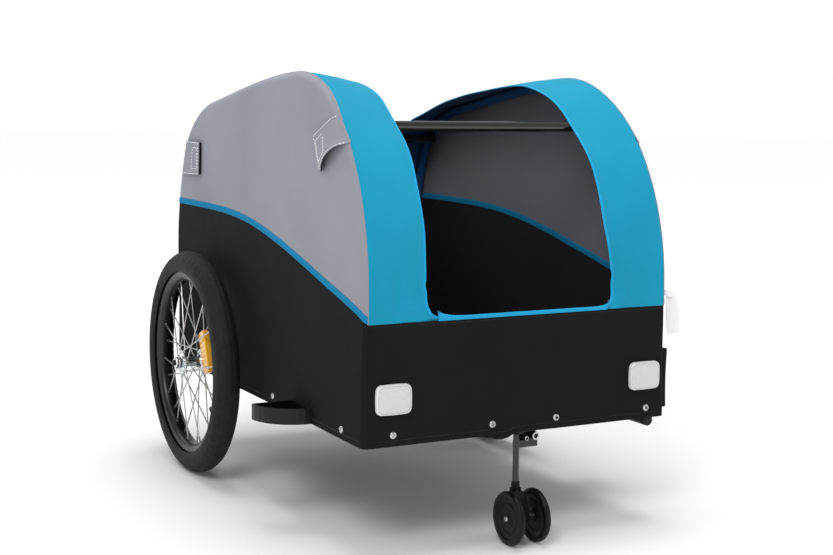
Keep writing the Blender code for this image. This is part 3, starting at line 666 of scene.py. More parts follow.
def build_sides():
    front = FRONT_Y + CORNER_R
    rear_low = moved_in([p for p in rear_outline() if p.y <= TUB_REAR_Z], CORNER_R)
    rear_top = rear_low[0].x
    lower = spread(front, REAR_SLACK[0] - CORNER_R, 110)
    rims = [(i / (len(HOOD) - 1), p, n) for i, (p, n) in enumerate(zip(HOOD, HOOD_IN))]
    rims = [(s, p, n) for s, p, n in rims if p.y > seam_z(p.x) + 0.0012]
    for side, sign in SIDES:
        build_grey_side(side, sign, rims, front, rear_top)
        out = vec(sign, 0, 0)
        grid = side_grid(sign, lower, lambda y: HEM_Z, lambda y: min(seam_z(y), rear_height(y)), 34)
        panel = cloth_panel("black_side_" + side, grid, out, "black", "black_lining", "black_cloth")
        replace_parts(panel, "side_lower_" + side)
        build_tape(side, sign, FRONT_Y + 0.0029, rear_top)
        line = [side_point(sign, y, HEM_Z + 0.009, 0.0002)
                for y in spread(front + 0.004, rear_low[-1].x - 0.004, 100)]
        make("hem_stitches_" + side, *stitch_row(line, out, *HEM_THREAD), "thread_black", "body",
             "black_cloth")


def build_grey_side(side, sign, rims, front, rear_top):
    """Upper side panel: rows from the S-shaped seam up to the roof, then round the corner to the band."""
    turn = 7
    rows = 40
    grid = [[] for _ in range(rows + turn + 1)]
    out = [[] for _ in range(rows + turn + 1)]
    for k, (share, p, n) in enumerate(rims):
        q = p + n * CORNER_R
        t = 0.45 * k / (len(rims) - 1) + 0.55 * (q.x - front) / (rear_top - front)
        foot_y = front + (rear_top - front) * clamp(t)
        foot = vec(foot_y, seam_z(foot_y))
        for r in range(rows + 1):
            m = foot.lerp(q, r / rows)
            fade = min(1.0, 4 * (1 - r / rows))
            flat = side_point(sign, max(m.x, front), m.y)
            flat.x -= sign * side_relief(m.x, m.y) * (1 - fade)
            grid[r].append(flat)
            out[r].append(vec(sign, 0, 0))
        for j in range(1, turn + 1):
            angle = pi / 2 + (seam_angle(share) - pi / 2) * j / turn
            grid[rows + j].append(corner_point(sign, p, n, angle))
            out[rows + j].append(vec(sign * sin(angle), *(-n * cos(angle))))
    panel = cloth_panel("grey_side_" + side, grid, out, "grey", "grey_lining_shaded", "grey_cloth")
    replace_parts(panel, "side_upper_" + side)


def build_tape(side, sign, front, rear):
    """The blue tape over the S-shaped seam, outside and inside."""
    half = 0.0054
    columns = spread(front, rear, 120)
    section = [(a, 0.35 + 0.65 * (1 - abs(a) ** 4)) for a in spread(-1, 1, 6)]
    section = [(-1, 0.0), *section, (1, 0.0)]
    parts = []
    for lift, thick in ((0.0002, 0.0011), (-CLOTH - 0.0002, -0.0009)):
        rings = []
        for y in columns:
            slope = (seam_z(y + 0.002) - seam_z(y - 0.002)) / 0.004
            reach = half * sqrt(1 + slope * slope)
            z = seam_z(y) + 0.0006 * noise.noise(vec(y * 20, 3.0, side == "left"))
            rings.append([side_point(sign, y, z + reach * a, lift + thick * b) for a, b in section])
        parts.append(skin(rings))
    tape = make("seam_tape_" + side, *merge(parts), "tape", "body", "blue_tape", 60.0)
    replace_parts(tape, "piping_" + side)
    rows = []
    for offset in (-0.0042, 0.0042):
        line = [side_point(sign, y, seam_z(y) + offset, 0.00125) for y in columns]
        rows.append(stitch_row(line, vec(sign, 0, 0), 0.0030, 0.0018, 0.00028))
    make("tape_stitches_" + side, *merge(rows), "thread_blue", "body", "blue_tape")


def wall_ring(centre, inward):
    """Points and outward normals of an end wall at one height: the flat cloth and its two turned ends."""
    corner = spread(0, pi / 2, 6)
    ends = [[(sign * (FLAT_X + CORNER_R * cos(a)), CORNER_R * (1 - sin(a)), sign * cos(a), -sin(a))
             for a in corner] for sign in (-1, 1)]
    face = [(x, 0.0, 0.0, -1.0) for x in spread(-FLAT_X, FLAT_X, 90)[1:-1]]
    ring = ends[0] + face + ends[1][::-1]
    return ([vec(x, *(centre + inward * d)) for x, d, _, _ in ring],
            [vec(x, *(inward * d)) for _, _, x, d in ring])


def build_front_wall():
    grid = []
    normals = []
    for t in spread(0, 1, 40):
        z = HEM_Z + (TUB_FRONT_Z - HEM_Z) * t
        ring, out = wall_ring(vec(FRONT_Y + 0.0004, z), vec(1, 0))
        grid.append([lean_in(p + n * front_relief(p.x, z) + vec(0, 0, hem_sag(p.x) * (1 - t) ** 6))
                     for p, n in zip(ring, out)])
        normals.append(out)
    wall = cloth_panel("front_wall", grid, normals, "black", "black_lining", "black_cloth")
    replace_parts(wall, "tub_front")
    rows = []
    for z, sag in ((HEM_Z + 0.009, 0.7), (TUB_FRONT_Z - 0.004, 0.0)):
        line = [vec(x, FRONT_Y + 0.0002 - front_relief(x, z), z + sag * hem_sag(x))
                for x in spread(-0.258, 0.258, 120)]
        rows.append(stitch_row(line, vec(0, -1, 0), *HEM_THREAD))
    make("front_wall_stitches", *merge(rows), "thread_black", "body", "black_cloth")


def build_rear_wall():
    line = resample([p for p in rear_outline() if p.y <= TUB_REAR_Z + 0.001], 46)
    grid = []
    normals = []
    for p, n in zip(line, normals_in(line)):
        ring, out = wall_ring(p + n * 0.0004, n)
        grid.append([lean_in(q + o * 0.0012 * noise.noise(vec(q.x * 7, q.z * 9, 12.0)))
                     for q, o in zip(ring, out)])
        normals.append(out)
    wall = cloth_panel("rear_wall", grid, normals, "black", "black_lining", "black_cloth")
    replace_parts(wall, "tub_rear")
    edge = [lean_in(vec(x, *line[0])) for x in spread(-0.262, 0.262, 100)]
    rings = [[p + vec(0, 0.0016 * cos(a) - 0.0004, 0.0045 * sin(a) + 0.001) for a in turns(12)] for p in edge]
    make("rear_sill", *skin(rings), "tape", "body", "blue_cloth", 60.0)
    low = [vec(x, REAR_Y + 0.0003, HEM_Z + 0.009) for x in spread(-0.258, 0.258, 100)]
    make("rear_wall_stitches", *stitch_row(low, vec(0, 1, 0), *HEM_THREAD), "thread_black", "body",
         "black_cloth")


def band_edge(share):
    """Half-width of the opening at a place along the hood, narrowing in a round corner at the sill."""
    height = share * HOOD_LENGTH
    rise = clamp(1 - height / OPENING_CORNER)
    corner = 0.022 * (1 - sqrt(1 - rise * rise))
    kink = 0.0024 * exp(-((height - 0.052) / 0.008) ** 2)
    scallop = 0.0009 * sin(share * 46) * exp(-((share - 0.25) / 0.25) ** 2)
    return BAND_EDGE_X - corner - 0.0038 * clamp((height - 0.07) / 0.06) + kink + scallop


HOOD_LENGTH = arc_length(HOOD)


def band_depth(u, share, sign):
    """Depth of the band below the body's outline. u is 0 at the free edge and 1 at the corner seam."""
    loose = 0.0006 + 0.0010 * exp(-(share / 0.45) ** 4)
    fold = loose * noise.noise(vec(share * 16, u * 2.4, 5.0 + sign)) * (1 - u) ** 0.5
    low = exp(-((share - 0.03) / 0.035) ** 2)
    gather = 0.0013 * low * sin(u * 17 + 1.1 * sign) * (1 - u * u)
    return knots(share, DROOP) * (1 - u) ** 1.35 + fold + gather


def build_hood():
    turn = 6
    for side, sign in SIDES:
        grid = []
        for i, (p, n) in enumerate(zip(HOOD, HOOD_IN)):
            share = i / (len(HOOD) - 1)
            edge = band_edge(share)
            row = []
            for u in spread(0, 1, 30):
                depth = (band_depth(u, share, sign) if u < 1 else 0.0) + 0.0003
                row.append(lean_in(vec(sign * (edge + (FLAT_X - edge) * u), *(p + n * depth))))
            row += [corner_point(sign, p, n, seam_angle(share) * k / turn) for k in range(1, turn + 1)]
            grid.append(row)
        normals = grid_normals(grid, sign)
        band = cloth_panel("hood_band_cloth_" + side, grid, normals, "blue", "blue_lining", "blue_cloth")
        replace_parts(band, "hood_band_" + side)
        build_band_trim(side, sign, grid, normals)


def grid_normals(grid, sign):
    """Outward unit normals of a hood band's grid."""
    columns = list(zip(*grid))
    return [[(direction(columns[k], i).cross(direction(row, k)) * -sign).normalized()
             for k in range(len(row))] for i, row in enumerate(grid)]


def build_band_trim(side, sign, grid, normals):
    """Binding round the free edge, its stitches, the hem's stitches and the welt along the corner seam."""
    edge = [row[0] for row in grid]
    rings = []
    for i, (p, row_n) in enumerate(zip(edge, normals)):
        n = row_n[0]
        inward = n.cross(direction(edge, i)).normalized() * sign
        rings.append([p + inward * (0.0022 * cos(a) + 0.0012) + n * (0.0011 * sin(a) - CLOTH / 2)
                      for a in turns(12)])
    make("hood_binding_" + side, *skin(rings), "binding", "body", "blue_cloth", 60.0)
    rows = [stitch_row([row[2] for row in grid], [row[2] for row in normals], *BAND_THREAD),
            stitch_row(grid[2][3:-3], normals[2][3:-3], *BAND_THREAD)]
    make("hood_stitches_" + side, *merge(rows), "thread_blue", "body", "blue_cloth")
    seam = [row[-1] + row_n[-1] * 0.0001 for row, row_n in zip(grid, normals)]
    make("corner_welt_" + side, *tube_mesh(seam, 0.0009, 8), "welt", "body", "grey_cloth", 60.0)


def build_sill():
    """The blue strip between the bands, folded over the front wall's edge. Its ends rise into the corners."""
    half = band_edge(0.0) + 0.004
    low = TUB_FRONT_Z - 0.0005
    rings = []
    for x in spread(-half, half, 100):
        rise = 0.0085 * exp(-(half + x) / 0.013) + 0.0035 * exp(-(half - x) / 0.006)
        wave = 0.0006 * noise.noise(vec(x * 22, 0.0, 2.0))
        top = TUB_FRONT_Z + 0.0055 + wave + rise
        rings.append([lean_in(vec(x, FRONT_Y - 0.0006 + d, z)) for d, z in (
            (0.0, low), (-0.0008, low + (top - low) * 0.4), (-0.0006, top - 0.0012), (0.0010, top),
            (0.0024, top - 0.0012), (0.0028, low + (top - low) * 0.5), (0.0026, low))])
    sill = make("sill_cloth", *skin(rings), "binding", "body", "blue_cloth", 70.0)
    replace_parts(sill, "sill_strip")
    corners = []
    for sign in (-1, 1):
        seam = [lean_in(vec(sign * (half - 0.0010 + 0.0030 * t), FRONT_Y - 0.0012,
                            TUB_FRONT_Z + 0.0002 + 0.0150 * t)) for t in spread(0, 1, 8)]
        corners.append(tube_mesh(seam, 0.0005, 6))
    make("sill_seams", *merge(corners), "thread_blue", "body", "blue_cloth")


def build_sleeves():
    """Cloth sleeves that hold the hoops in the corners of the body."""
    for side, sign in SIDES:
        line = moved_in(HOOD, HOOP_INSET)
        foot = HOOP_FOOT_Z
        line = [vec(line[0].x, z) for z in spread(foot, line[0].y, 14)[:-1]] + line
        line += moved_in([p for p in rear_outline() if p.y < TUB_REAR_Z], HOOP_INSET)
        points = resample([vec(sign * (BODY_X - HOOP_INSET - lean(p.y)), *p) for p in line
                           if p.y >= foot - 1e-6], 150)
        radii = [HOOP_R + 0.0009 + 0.0004 * noise.noise(p * 30) for p in points]
        # the sleeves take the dark inner-face blue, which holds painted shade of the body's inside
        sleeve = make("hoop_sleeve_" + side, *tube_mesh(points, radii, 14), "blue_lining", "body",
                      "blue_cloth", 60.0)
        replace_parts(sleeve, "hoop_" + side)
        low = [p for p in points if p.z < TUB_FRONT_Z and p.y < 0]
        make("hoop_foot_" + side, *tube_mesh(low[:2] + low[-1:], HOOP_R + 0.0016, 14), "black_lining",
             "body", "black_cloth", 60.0)


STRAPS = {
    # corners in (y, z): seam top, seam bottom, free end top, free end bottom
    "front": (vec(-0.279, 0.648), vec(-0.3206, 0.6067), vec(-0.200, 0.614), vec(-0.234, 0.5605)),
    "rear": (vec(0.3955, 0.593), vec(0.4225, 0.530), vec(0.3076, 0.593), vec(0.3090, 0.5316)),
}


def strap_point(sign, place, u, v, lift=0.0):
    """A point of a strap: u runs from the seam to the free end, v across it from -1 to 1."""
    root_top, root_low, end_top, end_low = STRAPS[place]
    w = (v + 1) / 2
    p = root_low.lerp(root_top, w).lerp(end_low.lerp(end_top, w), u)
    raised = 0.0045 + 0.0010 * u ** 2
    if place == "front":
        arch = max(0.0, sin(pi * min(1.0, u)))
        p += vec(0.002, 0.0070) * (1 - w) ** 1.5 * arch
        raised = 0.0045 + 0.011 * (1 - w) ** 2 * arch ** 0.8 + 0.0015 * u * u * (1 - w)
    depth = min(1.0, u / 0.18)
    return lean_in(vec(sign * (BODY_X - 0.003 * (1 - depth) + raised * depth + side_relief(*p) + lift), *p))


def build_straps():
    thick = 0.0017
    seams = (path([(0.04825, 0.93), (0.965, 0.93), (0.965, -0.93), (0.04825, -0.93)], (19, 14, 19)),
             path([(0.62, 0.62), (0.92, 0.62), (0.92, -0.62), (0.62, -0.62), (0.62, 0.62)], (8, 12, 8, 12)))
    for place, length in (("front", 0.096), ("rear", 0.102)):
        for side, sign in SIDES:
            name = "%s_%s" % (place, side)
            out = vec(sign, 0, 0)
            grid = [[strap_point(sign, place, u, v) for u in spread(0, 1, 26)] for v in spread(-1, 1, 18)]
            strap = cloth_panel("strap_" + name, grid, out, "grey", "hook", "grey_cloth", thick)
            rows = [stitch_row([strap_point(sign, place, *p, 0.0002) for p in seam], out, *STRAP_THREAD)
                    for seam in seams]
            make("strap_stitches_" + name, *merge(rows), "thread_white", "body", "grey_cloth")
            pad = [[strap_point(sign, place, u, v, 0.0001 - thick) for u in spread(0.70, 1.03, 8)]
                   for v in spread(0.94, -0.94, 10)]
            make("strap_pad_" + name, *slab(pad, out, 0.0022), "hook", "body", "black_cloth")


def build_tag():
    """A blank sewn tag that hangs from a short loop in the right corner seam."""
    grid = [[vec(BODY_X + 0.0060 + 0.0210 * u + 0.0050 * t,
                 FRONT_Y + 0.012 - 0.003 * u + 0.0022 * sin(3.2 * t + 2 * u),
                 0.3640 - 0.0640 * t + 0.0025 * u)
             for u in spread(0, 1, 8)] for t in spread(0, 1, 18)]
    tag = cloth_panel("blank_tag", grid, vec(0, -1, 0), "tag", "tag", "grey_cloth", 0.0006)
    loop = [[vec(BODY_X - 0.0020 + 0.0180 * sin(a / 2), FRONT_Y + 0.0115 - 0.0040 * sin(a),
                 z - 0.0060 * sin(a / 2) ** 2) for z in spread(0.3740, 0.3640, 4)] for a in spread(0, pi, 12)]
    strip = cloth_panel("tag_loop", loop, vec(0, -1, 0), "tag", "tag", "grey_cloth", 0.0006)


def build_flag_sleeve():
    centre, half = measured("flag_sleeve")
    rings = []
    for t in spread(0, 1, 14):
        squeeze = 1 - 0.16 * sin(pi * t)
        rings.append([centre + vec(half.x * squeeze * cos(a), half.x * 1.05 * sin(a), half.z * (2 * t - 1))
                      for a in turns(32)])
    inner = [[p + (vec(centre.x, centre.y, p.z) - p) * 0.11 for p in ring] for ring in rings[::-1]]
    sleeve = make("flag_sleeve_cloth", *skin(rings + inner, cyclic=True), "black", "body", "black_cloth",
                  60.0)
    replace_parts(sleeve, "flag_sleeve")


# ---- small hard pieces -------------------------------------------------------------------------
def screw_mesh(place, out, spin):
    """A pan-head screw with a cross recess, its head facing along out."""
    side = out.orthogonal().normalized()
    up = out.cross(side).normalized()
    r = 0.0056
    profile = [(0.0, 1.0), (0.0008, 1.0), (0.0016, 0.93), (0.0023, 0.78), (0.0027, 0.55)]
    verts, faces = skin([ring_points(place + out * h, out, side, q * r, 24) for h, q in profile])
    faces.pop()
    base = len(verts)
    last = base - 24
    arm = r * 0.52
    slot = r * 0.15
    cross = [(arm, slot), (slot, slot), (slot, arm), (-slot, arm), (-slot, slot), (-arm, slot),
             (-arm, -slot), (-slot, -slot), (-slot, -arm), (slot, -arm), (slot, -slot), (arm, -slot)]
    for depth, k in ((0.0027, 1.0), (0.0013, 0.6)):
        verts += [place + out * depth + side * (u * cos(spin) - v * sin(spin)) * k
                  + up * (u * sin(spin) + v * cos(spin)) * k for u, v in cross]
    for k in range(12):
        m = (k + 1) % 12
        rim = [last + (2 * k + j) % 24 for j in (1, 2, 3)]
        faces += [(base + k, base + m, base + 12 + m, base + 12 + k), (rim[0], rim[1], base + k),
                  (rim[1], rim[2], base + k), (rim[2], base + m, base + k)]
    return verts, faces + [tuple(range(base + 12, base + 24))]


def build_screws():
    def screw(name, place, out, spin):
        return make(name, *screw_mesh(place, out, spin), "zinc", "body", "bright_steel", 30.0)

    for i in range(4):
        node = "front_screw_%d" % (i + 1)
        at = measured(node)[0]
        place = vec(at.x, FRONT_Y + 0.0002 - front_relief(at.x, at.z), at.z)
        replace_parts(screw(node + "_head", place, vec(0, -1, 0), 0.3 + i), node)
    rail_z = 0.1845
    for side, sign in SIDES:
        for k, y in enumerate((-0.319, -0.047, 0.300, 0.400)):
            screw("side_screw_%s_%d" % (side, k + 1), side_point(sign, y, rail_z), vec(sign, 0, 0),
                  0.5 * k + 0.2)
    for k, x in enumerate((-0.225, -0.075, 0.075, 0.225)):
        screw("rear_screw_%d" % (k + 1), vec(x, REAR_Y + 0.0002, rail_z + 0.0025), vec(0, 1, 0), 0.4 * k)


def barrel(u_half, v_half, corner, bulge, count=12):
    """A rounded rectangle with softly bulging sides, as (u, v) points."""
    points = []
    for qu, qv, start in ((1, 1, 0), (-1, 1, 90), (-1, -1, 180), (1, -1, 270)):
        for k in range(count):
            a = radians(start + 90 * k / (count - 1))
            u = qu * (u_half - corner) + corner * cos(a)
            v = qv * (v_half - corner) + corner * sin(a)
            points.append((u, v))
    out = []
    for (u, v), (u2, v2) in zip(points, points[1:] + points[:1]):
        out.append((u, v))
        for k in range(1, 6 if hypot(u2 - u, v2 - v) > corner * 0.6 else 1):
            t = k / 6
            out.append((u + (u2 - u) * t, v + (v2 - v) * t))
    return [(u * (1 + bulge * (1 - (v / v_half) ** 2)), v * (1 + bulge * (1 - (u / u_half) ** 2)))
            for u, v in out]


def build_reflectors():
    for end, y, out, key in (("front", FRONT_Y, -1, "white"), ("rear", REAR_Y, 1, "red")):
        for side in ("left", "right"):
            node = "reflector_%s_%s" % (end, side)
            at, half = measured(node)
            depth = half.y * 2

            def loops(stations):
                return [[vec(at.x + u, y + out * lift, at.z + v)
                         for u, v in barrel(half.x - shrink - 0.0012, half.z - shrink - 0.0010,
                                            0.0075 - shrink * 0.3, 0.04)] for shrink, lift in stations]

            body = loops([(0.0, 0.0003), (0.0, depth * 0.45), (0.0005, depth * 0.76), (0.0013, depth * 0.88),
                          (0.0021, depth * 0.84), (0.0023, depth * 0.62)])
            case = make(node + "_case", *skin(body), key + "_rim", "body", key + "_reflector", 35.0)
            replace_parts(case, node)
            lens = loops([(0.0026, depth * 0.62), (0.0026, depth * 0.78), (0.0036, depth * 0.88),
                          (0.0110, depth * 0.96), (0.0175, depth)])
            make(node + "_lens", *skin(lens), key + "_lens", "body", key + "_reflector", 35.0)


# ---- rear wheels -------------------------------------------------------------------------------
def tyre_radius(angle, sweep, section_r):
    """Radius of the tyre's section with its tread: two shoulder rows of lugs and a ribbed crown."""
    a = abs(angle)
    groove = 0.0
    if a < 0.95:
        for centre in (0.22, 0.56):
            groove += 0.0007 * exp(-((a - centre) / 0.045) ** 2)
    if 0.50 < a < 1.12:
        wave = sin(sweep * 72 + (0.6 if angle > 0 else -0.6) * a * 6)
        window = sin(pi * (a - 0.50) / 0.62)
        groove += 0.0007 * window * clamp(2.2 * wave)
    if a < 0.22:
        groove += 0.0005 * max(0.0, sin(sweep * 108)) * (1 - (a / 0.22) ** 2)
    wall_step = 0.0007 * (1 / (1 + exp(-(a - 1.18) / 0.02)))
    wall_line = 0.0004 * exp(-((a - 1.62) / 0.03) ** 2)
    return section_r - groove - wall_step + wall_line


def build_tyre(side, centre, radius, section_r):
    bead = radians(125)
    steps = 58
    rings = []
    for sweep in turns(432):
        radial = vec(0, cos(sweep), sin(sweep))
        section = [(a, tyre_radius(a, sweep, section_r)) for a in spread(-bead, bead, steps)]
        section += [(a, section_r - 0.004) for a in spread(bead, -bead, 8)]
        rings.append([centre + radial * (radius - section_r + r * cos(a)) + vec(r * sin(a), 0, 0)
                      for a, r in section])
    verts, faces = skin(rings, cyclic=True)
    marks = []
    for face in faces:
        k = face[0] % len(rings[0])
        marks.append(0 if k < steps and abs(bead * (2 * (k + 0.5) / steps - 1)) < 1.18 else 1)
    tyre = make("tyre_rubber_" + side, verts, faces, ("tread", "wall"), "wheel_" + side, "tyre_rubber", 40.0,
                marks)
    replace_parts(tyre, "tyre_" + side)


def build_rim(side, centre, top_r, floor_r):
    wall = 0.0150
    thin = 0.0128
    outer = [(-wall, top_r), (-wall - 0.0002, 0.1625), (-wall, 0.1600), (-wall + 0.0006, 0.1585),
             (-wall + 0.0008, 0.1555), (-0.0125, 0.1518), (-0.0090, 0.1492), (-0.0045, floor_r + 0.0002),
             (0, floor_r)]
    inner = [(thin, top_r), (thin, 0.1580), (0, 0.1520), (-thin, 0.1580), (-thin, top_r)]
    rim = make("rim_metal_" + side, *turned("X", centre, mirrored(outer) + inner, 144, closed=True), "rim",
               "wheel_" + side, "rim_metal", 30.0)
    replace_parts(rim, "rim_" + side)


def build_spokes(side, centre, floor_r):
    """Crossed spokes, bent at the hub's flanges, with nipples at the rim."""
    def around(x, radius, angle):
        return centre + vec(x, radius * cos(angle), radius * sin(angle))

    spokes = []
    nipples = []
    for i, rim_angle in enumerate(turns(SPOKES)):
        rim_angle += pi / SPOKES
        flange = -1 if i % 2 else 1
        slant = -1 if (i // 2) % 2 else 1
        a = around(flange * FLANGE_X + slant * 0.0012, FLANGE_R, rim_angle + slant * radians(62))
        b = around(flange * 0.0025, floor_r + 0.001, rim_angle)
        along = (b - a).normalized()
        head = a - vec(0.0022 * flange * slant, 0, 0)
        spokes.append(tube_mesh([head, a, a.lerp(b, 0.02), a.lerp(b, 0.5), b - along * 0.006], 0.00112, 8))
        nipples.append(tube_mesh([b - along * d for d in (0.0125, 0.012, 0.0035, 0.003, 0.0)],
                                 [0.0012, 0.0016, 0.0016, 0.0021, 0.0021], 8))
    make("spokes_" + side, *merge(spokes), "spoke", "wheel_" + side, "bright_steel", 40.0)
    make("nipples_" + side, *merge(nipples), "nipple", "wheel_" + side, "hub_alloy", 30.0)


def build_hub(side, centre):
    end = 0.026
    profile = [(-end, 0.0063), (-end, 0.0098), (-end + 0.0008, 0.0106), (-0.0208, 0.0110), (-0.0200, 0.0150),
               (-0.0200, 0.0206), (-0.0192, 0.0212), (-0.0172, 0.0212), (-0.0165, 0.0206), (-0.0163, 0.0150),
               (-0.0145, 0.0112), (-0.0110, 0.0094), (0.0, 0.0090)]
    parts = [turned("X", centre, mirrored(profile), 56, closed=True)]
    for out in (-1, 1):
        for a in turns(SPOKES // 2):
            hole = centre + vec(out * FLANGE_X, FLANGE_R * cos(a), FLANGE_R * sin(a))
            parts.append(turned("X", hole, [(-0.0024, 0.0015), (-0.0021, 0.0018), (0.0021, 0.0018),
                                            (0.0024, 0.0015)], 10))
    for out in (-1, 1):
        seal = [(0.0002, 0.0063), (0.0002, 0.0092), (0.0012, 0.0088), (0.0012, 0.0066)]
        parts.append(turned("X", centre, [(out * (end + a), r) for a, r in seal], 40, closed=True))
    hub = make("hub_shell_" + side, *merge(parts), "hub", "wheel_" + side, "hub_alloy", 35.0)
    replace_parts(hub, "hub_" + side)


def build_valve(side, centre, floor_r):
    """Valve stem with its cap, standing in from the rim."""
    angle = radians(214)
    stations = [(0.0, 0.0040), (0.003, 0.0040), (0.004, 0.0030), (0.018, 0.0030), (0.0185, 0.0042),
                (0.030, 0.0040), (0.0315, 0.0030)]
    points = [centre + vec(0, cos(angle), sin(angle)) * (floor_r + 0.002 - d) for d, _ in stations]
    make("valve_" + side, *tube_mesh(points, [r for _, r in stations], 14), "moulded", "wheel_" + side,
         "tyre_rubber", 35.0)


def build_spoke_reflector(side, centre):
    """Amber reflector clipped between the spokes: two shells with ribs and a clear edge."""
    lift = radians(21)
    radial = vec(0, -cos(lift), sin(lift))
    tangent = vec(0, -sin(lift), -cos(lift))

    def place(u, v, x):
        return centre + radial * (0.0825 + u) + tangent * v + vec(x, 0, 0)

    def loops(face, stations):
        return [[place(u, v, face * depth) for u, v in barrel(u_half, v_half, corner, 0.02)]
                for u_half, v_half, depth, corner in stations]

    shells = []
    for face in (-1, 1):
        shells.append(skin(loops(face, [(0.0145, 0.0370, 0.0003, 0.007), (0.0145, 0.0370, 0.0040, 0.007),
                                        (0.0130, 0.0355, 0.0058, 0.006), (0.0100, 0.0325, 0.0060, 0.005)])))
        for v in spread(-0.027, 0.027, 6):
            rib = [place(u, v, face * 0.0060) for u in (-0.010, -0.009, 0.009, 0.010)]
            shells.append(tube_mesh(rib, [0.0003, 0.0011, 0.0011, 0.0003], 8))
    lens = make("amber_lens_" + side, *merge(shells), "amber_lens", "wheel_" + side, "amber_reflector", 35.0)
    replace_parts(lens, "spoke_reflector_" + side)
    edge = loops(1, [(0.0150, 0.0375, d, 0.0072) for d in (-0.0012, 0.0012)])
    make("amber_edge_" + side, *skin(edge), "amber_edge", "wheel_" + side, "amber_reflector", 35.0)


def build_axle(side, sign, centre):
    """Fixed axle with its end cap, the release button inside it, and the collar on the frame."""
    def lathe(start, profile, segments, closed=False):
        stations = [(start + sign * a, r) for a, r in profile]
        return turned("X", vec(0, centre.y, centre.z), stations, segments, closed)

    at, half = measured("axle_" + side)
    shaft = [(0, 0.0052), (0.0008, 0.0060), (2 * half.x - 0.0062, 0.0060)]
    cap = [(-0.0060, 0.0088), (-0.0056, 0.0098), (-0.0018, 0.0100), (-0.0006, 0.0094), (0, 0.0084),
           (0, 0.0056), (-0.0050, 0.0056)]
    parts = [lathe(at.x - sign * half.x, shaft, 32), lathe(at.x + sign * half.x, cap, 40)]
    axle = make("axle_steel_" + side, *merge(parts), "hub", "body", "hub_alloy", 30.0)
    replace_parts(axle, "axle_" + side)
    at, half = measured("axle_button_" + side)
    face = 2 * half.x
    button = lathe(at.x - sign * half.x, [(0, 0.0051), (face - 0.0012, 0.0051), (face - 0.0004, 0.0046),
                                          (face, 0.0034), (face - 0.0003, 0.0020)], 32)
    button = make("release_button_" + side, *button, "moulded", "release_button_" + side, "black_plastic",
                  30.0)
    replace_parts(button, "axle_button_" + side)
    collar = lathe(sign * BODY_X, [(-0.021, 0.0063), (-0.021, 0.0090), (0.0002, 0.0090), (0.0002, 0.0178),
                                   (0.0006, 0.0182), (0.0022, 0.0182), (0.0030, 0.0170), (0.0032, 0.0108),
                                   (0.0040, 0.0100), (0.0114, 0.0100), (0.0120, 0.0094), (0.0120, 0.0063)],
                   40, closed=True)
    collar = make("axle_collar_" + side, *collar, "frame", "body", "frame_paint", 30.0)
    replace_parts(collar, "axle_receiver_" + side)


def build_wheels():
    floor_r = 0.148
    for side, sign in SIDES:
        centre, half = measured("tyre_" + side)
        build_tyre(side, centre, half.z, 0.0235)
        build_rim(side, centre, measured("rim_" + side)[1].z, floor_r)
        build_spokes(side, centre, floor_r)
        build_hub(side, centre)
        build_valve(side, centre, floor_r)
        build_spoke_reflector(side, centre)
        build_axle(side, sign, centre)


# ---- caster ------------------------------------------------------------------------------------
def build_caster():
    for side in ("left", "right"):
        centre, size = measured("caster_wheel_" + side)
        half = size.x
        r = size.z
        out = [(half - 0.0017, 0.0033), (half - 0.0017, 0.0080), (half - 0.0024, 0.0090), (0.0022, 0.0105),
               (0.0020, 0.0150), (0.0020, 0.0215), (0.0028, 0.0222), (0.0028, 0.0234), (0.0020, 0.0241),
               (0.0022, 0.0285), (half - 0.0012, 0.0318), (half - 0.0002, 0.0326), (half, 0.0340),
               (half, r - 0.0042), (half - 0.0006, r - 0.0020), (half - 0.0018, r - 0.0007),
               (half - 0.0034, r)]
        profile = out + [(-a, q) for a, q in out[::-1]]
        wheel = make("caster_tyre_" + side, *turned("X", centre, profile, 96, closed=True), "caster",
                     "caster_wheel_" + side, "black_plastic", 30.0)
        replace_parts(wheel, "caster_wheel_" + side)
    centre, half = measured("caster_axle")
    shaft = [(a - half.x, r) for a, r in ((0, 0.0012), (0, 0.0030), (0.0005, 0.0038), (0.0012, 0.0044),
                                          (0.0026, 0.0046), (0.0027, 0.0030))]
    axle = make("caster_bolt", *turned("X", centre, shaft + [(-a, q) for a, q in shaft[::-1]], 32), "zinc",
                "caster_yoke", "bright_steel", 30.0)
    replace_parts(axle, "caster_axle")


def build_bolt_noses():
    """Ring-faced end caps on the two bolts under the nose, each with a black disc in its bore as painted
    shade of the hole.
    """
    for node, bore in (("fold_bolt", 0.0036), ("stop_bolt", 0.0021)):
        centre, half = measured(node)
        at = centre - vec(0, half.y, 0)
        r = half.z
        ring = [(0.0004, r * 0.98), (-0.0004, r * 0.97), (-0.0009, r * 0.86), (-0.0009, bore * 1.15),
                (-0.0003, bore), (0.0004, bore)]
        make(node + "_nose", *turned("Y", at, ring, 40, closed=True), "zinc", "body", "bright_steel", 30.0)
        # a black disc across the bore: painted shade of the hole
        make(node + "_bore_painted_shade", *turned("Y", at, [(0.0003, bore), (-0.0002, bore)], 32), "moulded", "body",
             "black_plastic", 30.0)


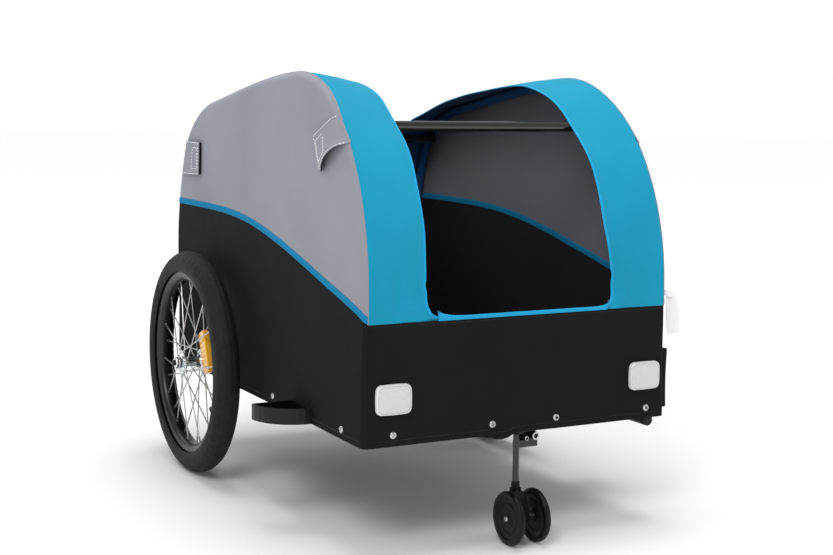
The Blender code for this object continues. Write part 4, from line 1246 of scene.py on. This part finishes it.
def polish_cad():
    """Finishes for the CAD nodes that show as they are, with softened edges."""
    finish = {"rail_": "frame", "front_tube": "frame", "rear_tube": "frame", "axle_beam": "frame",
              "floor_board": "floor", "crossbar_": "bar", "bar_fitting": "moulded", "wheel_guard": "moulded",
              "tow_socket": "frame", "socket_plug": "moulded", "caster_bracket": "frame",
              "caster_leg": "frame", "caster_yoke": "caster", "fold_bolt": "frame", "stop_bolt": "frame"}
    for name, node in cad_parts.items():
        key = next((v for k, v in finish.items() if name.startswith(k)), None)
        if key is None or node.hide_render:
            continue
        node.data.materials.clear()
        node.data.materials.append(M[key])
        bevel = node.modifiers.new("soft edges", "BEVEL")
        bevel.width = 0.0007
        bevel.segments = 2
        bevel.limit_method = "ANGLE"
        bevel.angle_limit = radians(40)
        node.data.shade_smooth()
        node.data.set_sharp_from_angle(angle=radians(38))


# ---- stage -------------------------------------------------------------------------------------
def build_stage():
    s = Shader("studio_floor", 0.9)
    s.bsdf.inputs["Base Color"].default_value = (0.93, 0.93, 0.93, 1)
    reach = s.node("ShaderNodeVectorMath", {"operation": "LENGTH"}, Vector=s.place())
    glow = s.node("ShaderNodeMapRange", {"interpolation_type": "SMOOTHSTEP"}, Value=reach.outputs["Value"],
                  From_Min=0.9, From_Max=3.2, To_Min=0.0, To_Max=0.52)
    s.bsdf.inputs["Emission Color"].default_value = (1, 1, 1, 1)
    s.tree.links.new(glow.outputs["Result"], s.bsdf.inputs["Emission Strength"])
    mesh = bpy.data.meshes.new("floor")
    bm = bmesh.new()
    bmesh.ops.create_circle(bm, cap_ends=True, segments=96, radius=40.0)
    bm.to_mesh(mesh)
    bm.free()
    mesh.materials.append(s.material)
    floor = bpy.data.objects.new("studio_floor", mesh)
    floor.location.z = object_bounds()[0].z - 0.0003
    bpy.context.scene.collection.objects.link(floor)
    world = bpy.data.worlds.new("studio")
    world.use_nodes = True
    tree = world.node_tree
    tree.nodes["Background"].inputs["Color"].default_value = (1, 1, 1, 1)
    place = tree.nodes.new("ShaderNodeTexCoord")
    split = tree.nodes.new("ShaderNodeSeparateXYZ")
    fade = tree.nodes.new("ShaderNodeMapRange")
    for socket, value in (("From Min", 0.10), ("From Max", 0.35), ("To Min", 1.0), ("To Max", 0.46)):
        fade.inputs[socket].default_value = value
    tree.links.new(place.outputs["Generated"], split.inputs["Vector"])
    tree.links.new(split.outputs["Z"], fade.inputs["Value"])
    tree.links.new(fade.outputs["Result"], tree.nodes["Background"].inputs["Strength"])
    bpy.context.scene.world = world
    lights = (("key", (-2.2, -2.4, 3.2), 1.5, 62), ("top", (0.2, 0.1, 3.4), 1.8, 62),
              ("fill", (2.8, -1.8, 1.8), 1.5, 12), ("back", (-1.0, 3.2, 2.6), 2.0, 22))
    for name, place, size, power in lights:
        light = bpy.data.lights.new(name, "AREA")
        light.size = size
        light.energy = power
        obj = bpy.data.objects.new(name, light)
        obj.location = place
        obj.rotation_euler = (vec(0, 0, 0.35) - Vector(place)).to_track_quat("-Z", "Y").to_euler()
        bpy.context.scene.collection.objects.link(obj)
    bpy.context.scene.view_settings.view_transform = "Standard"


add_camera()
build_sides()
build_front_wall()
build_rear_wall()
build_hood()
build_sill()
build_sleeves()
build_straps()
build_tag()
build_flag_sleeve()
build_screws()
build_reflectors()
build_wheels()
build_caster()
build_bolt_noses()
polish_cad()
build_stage()
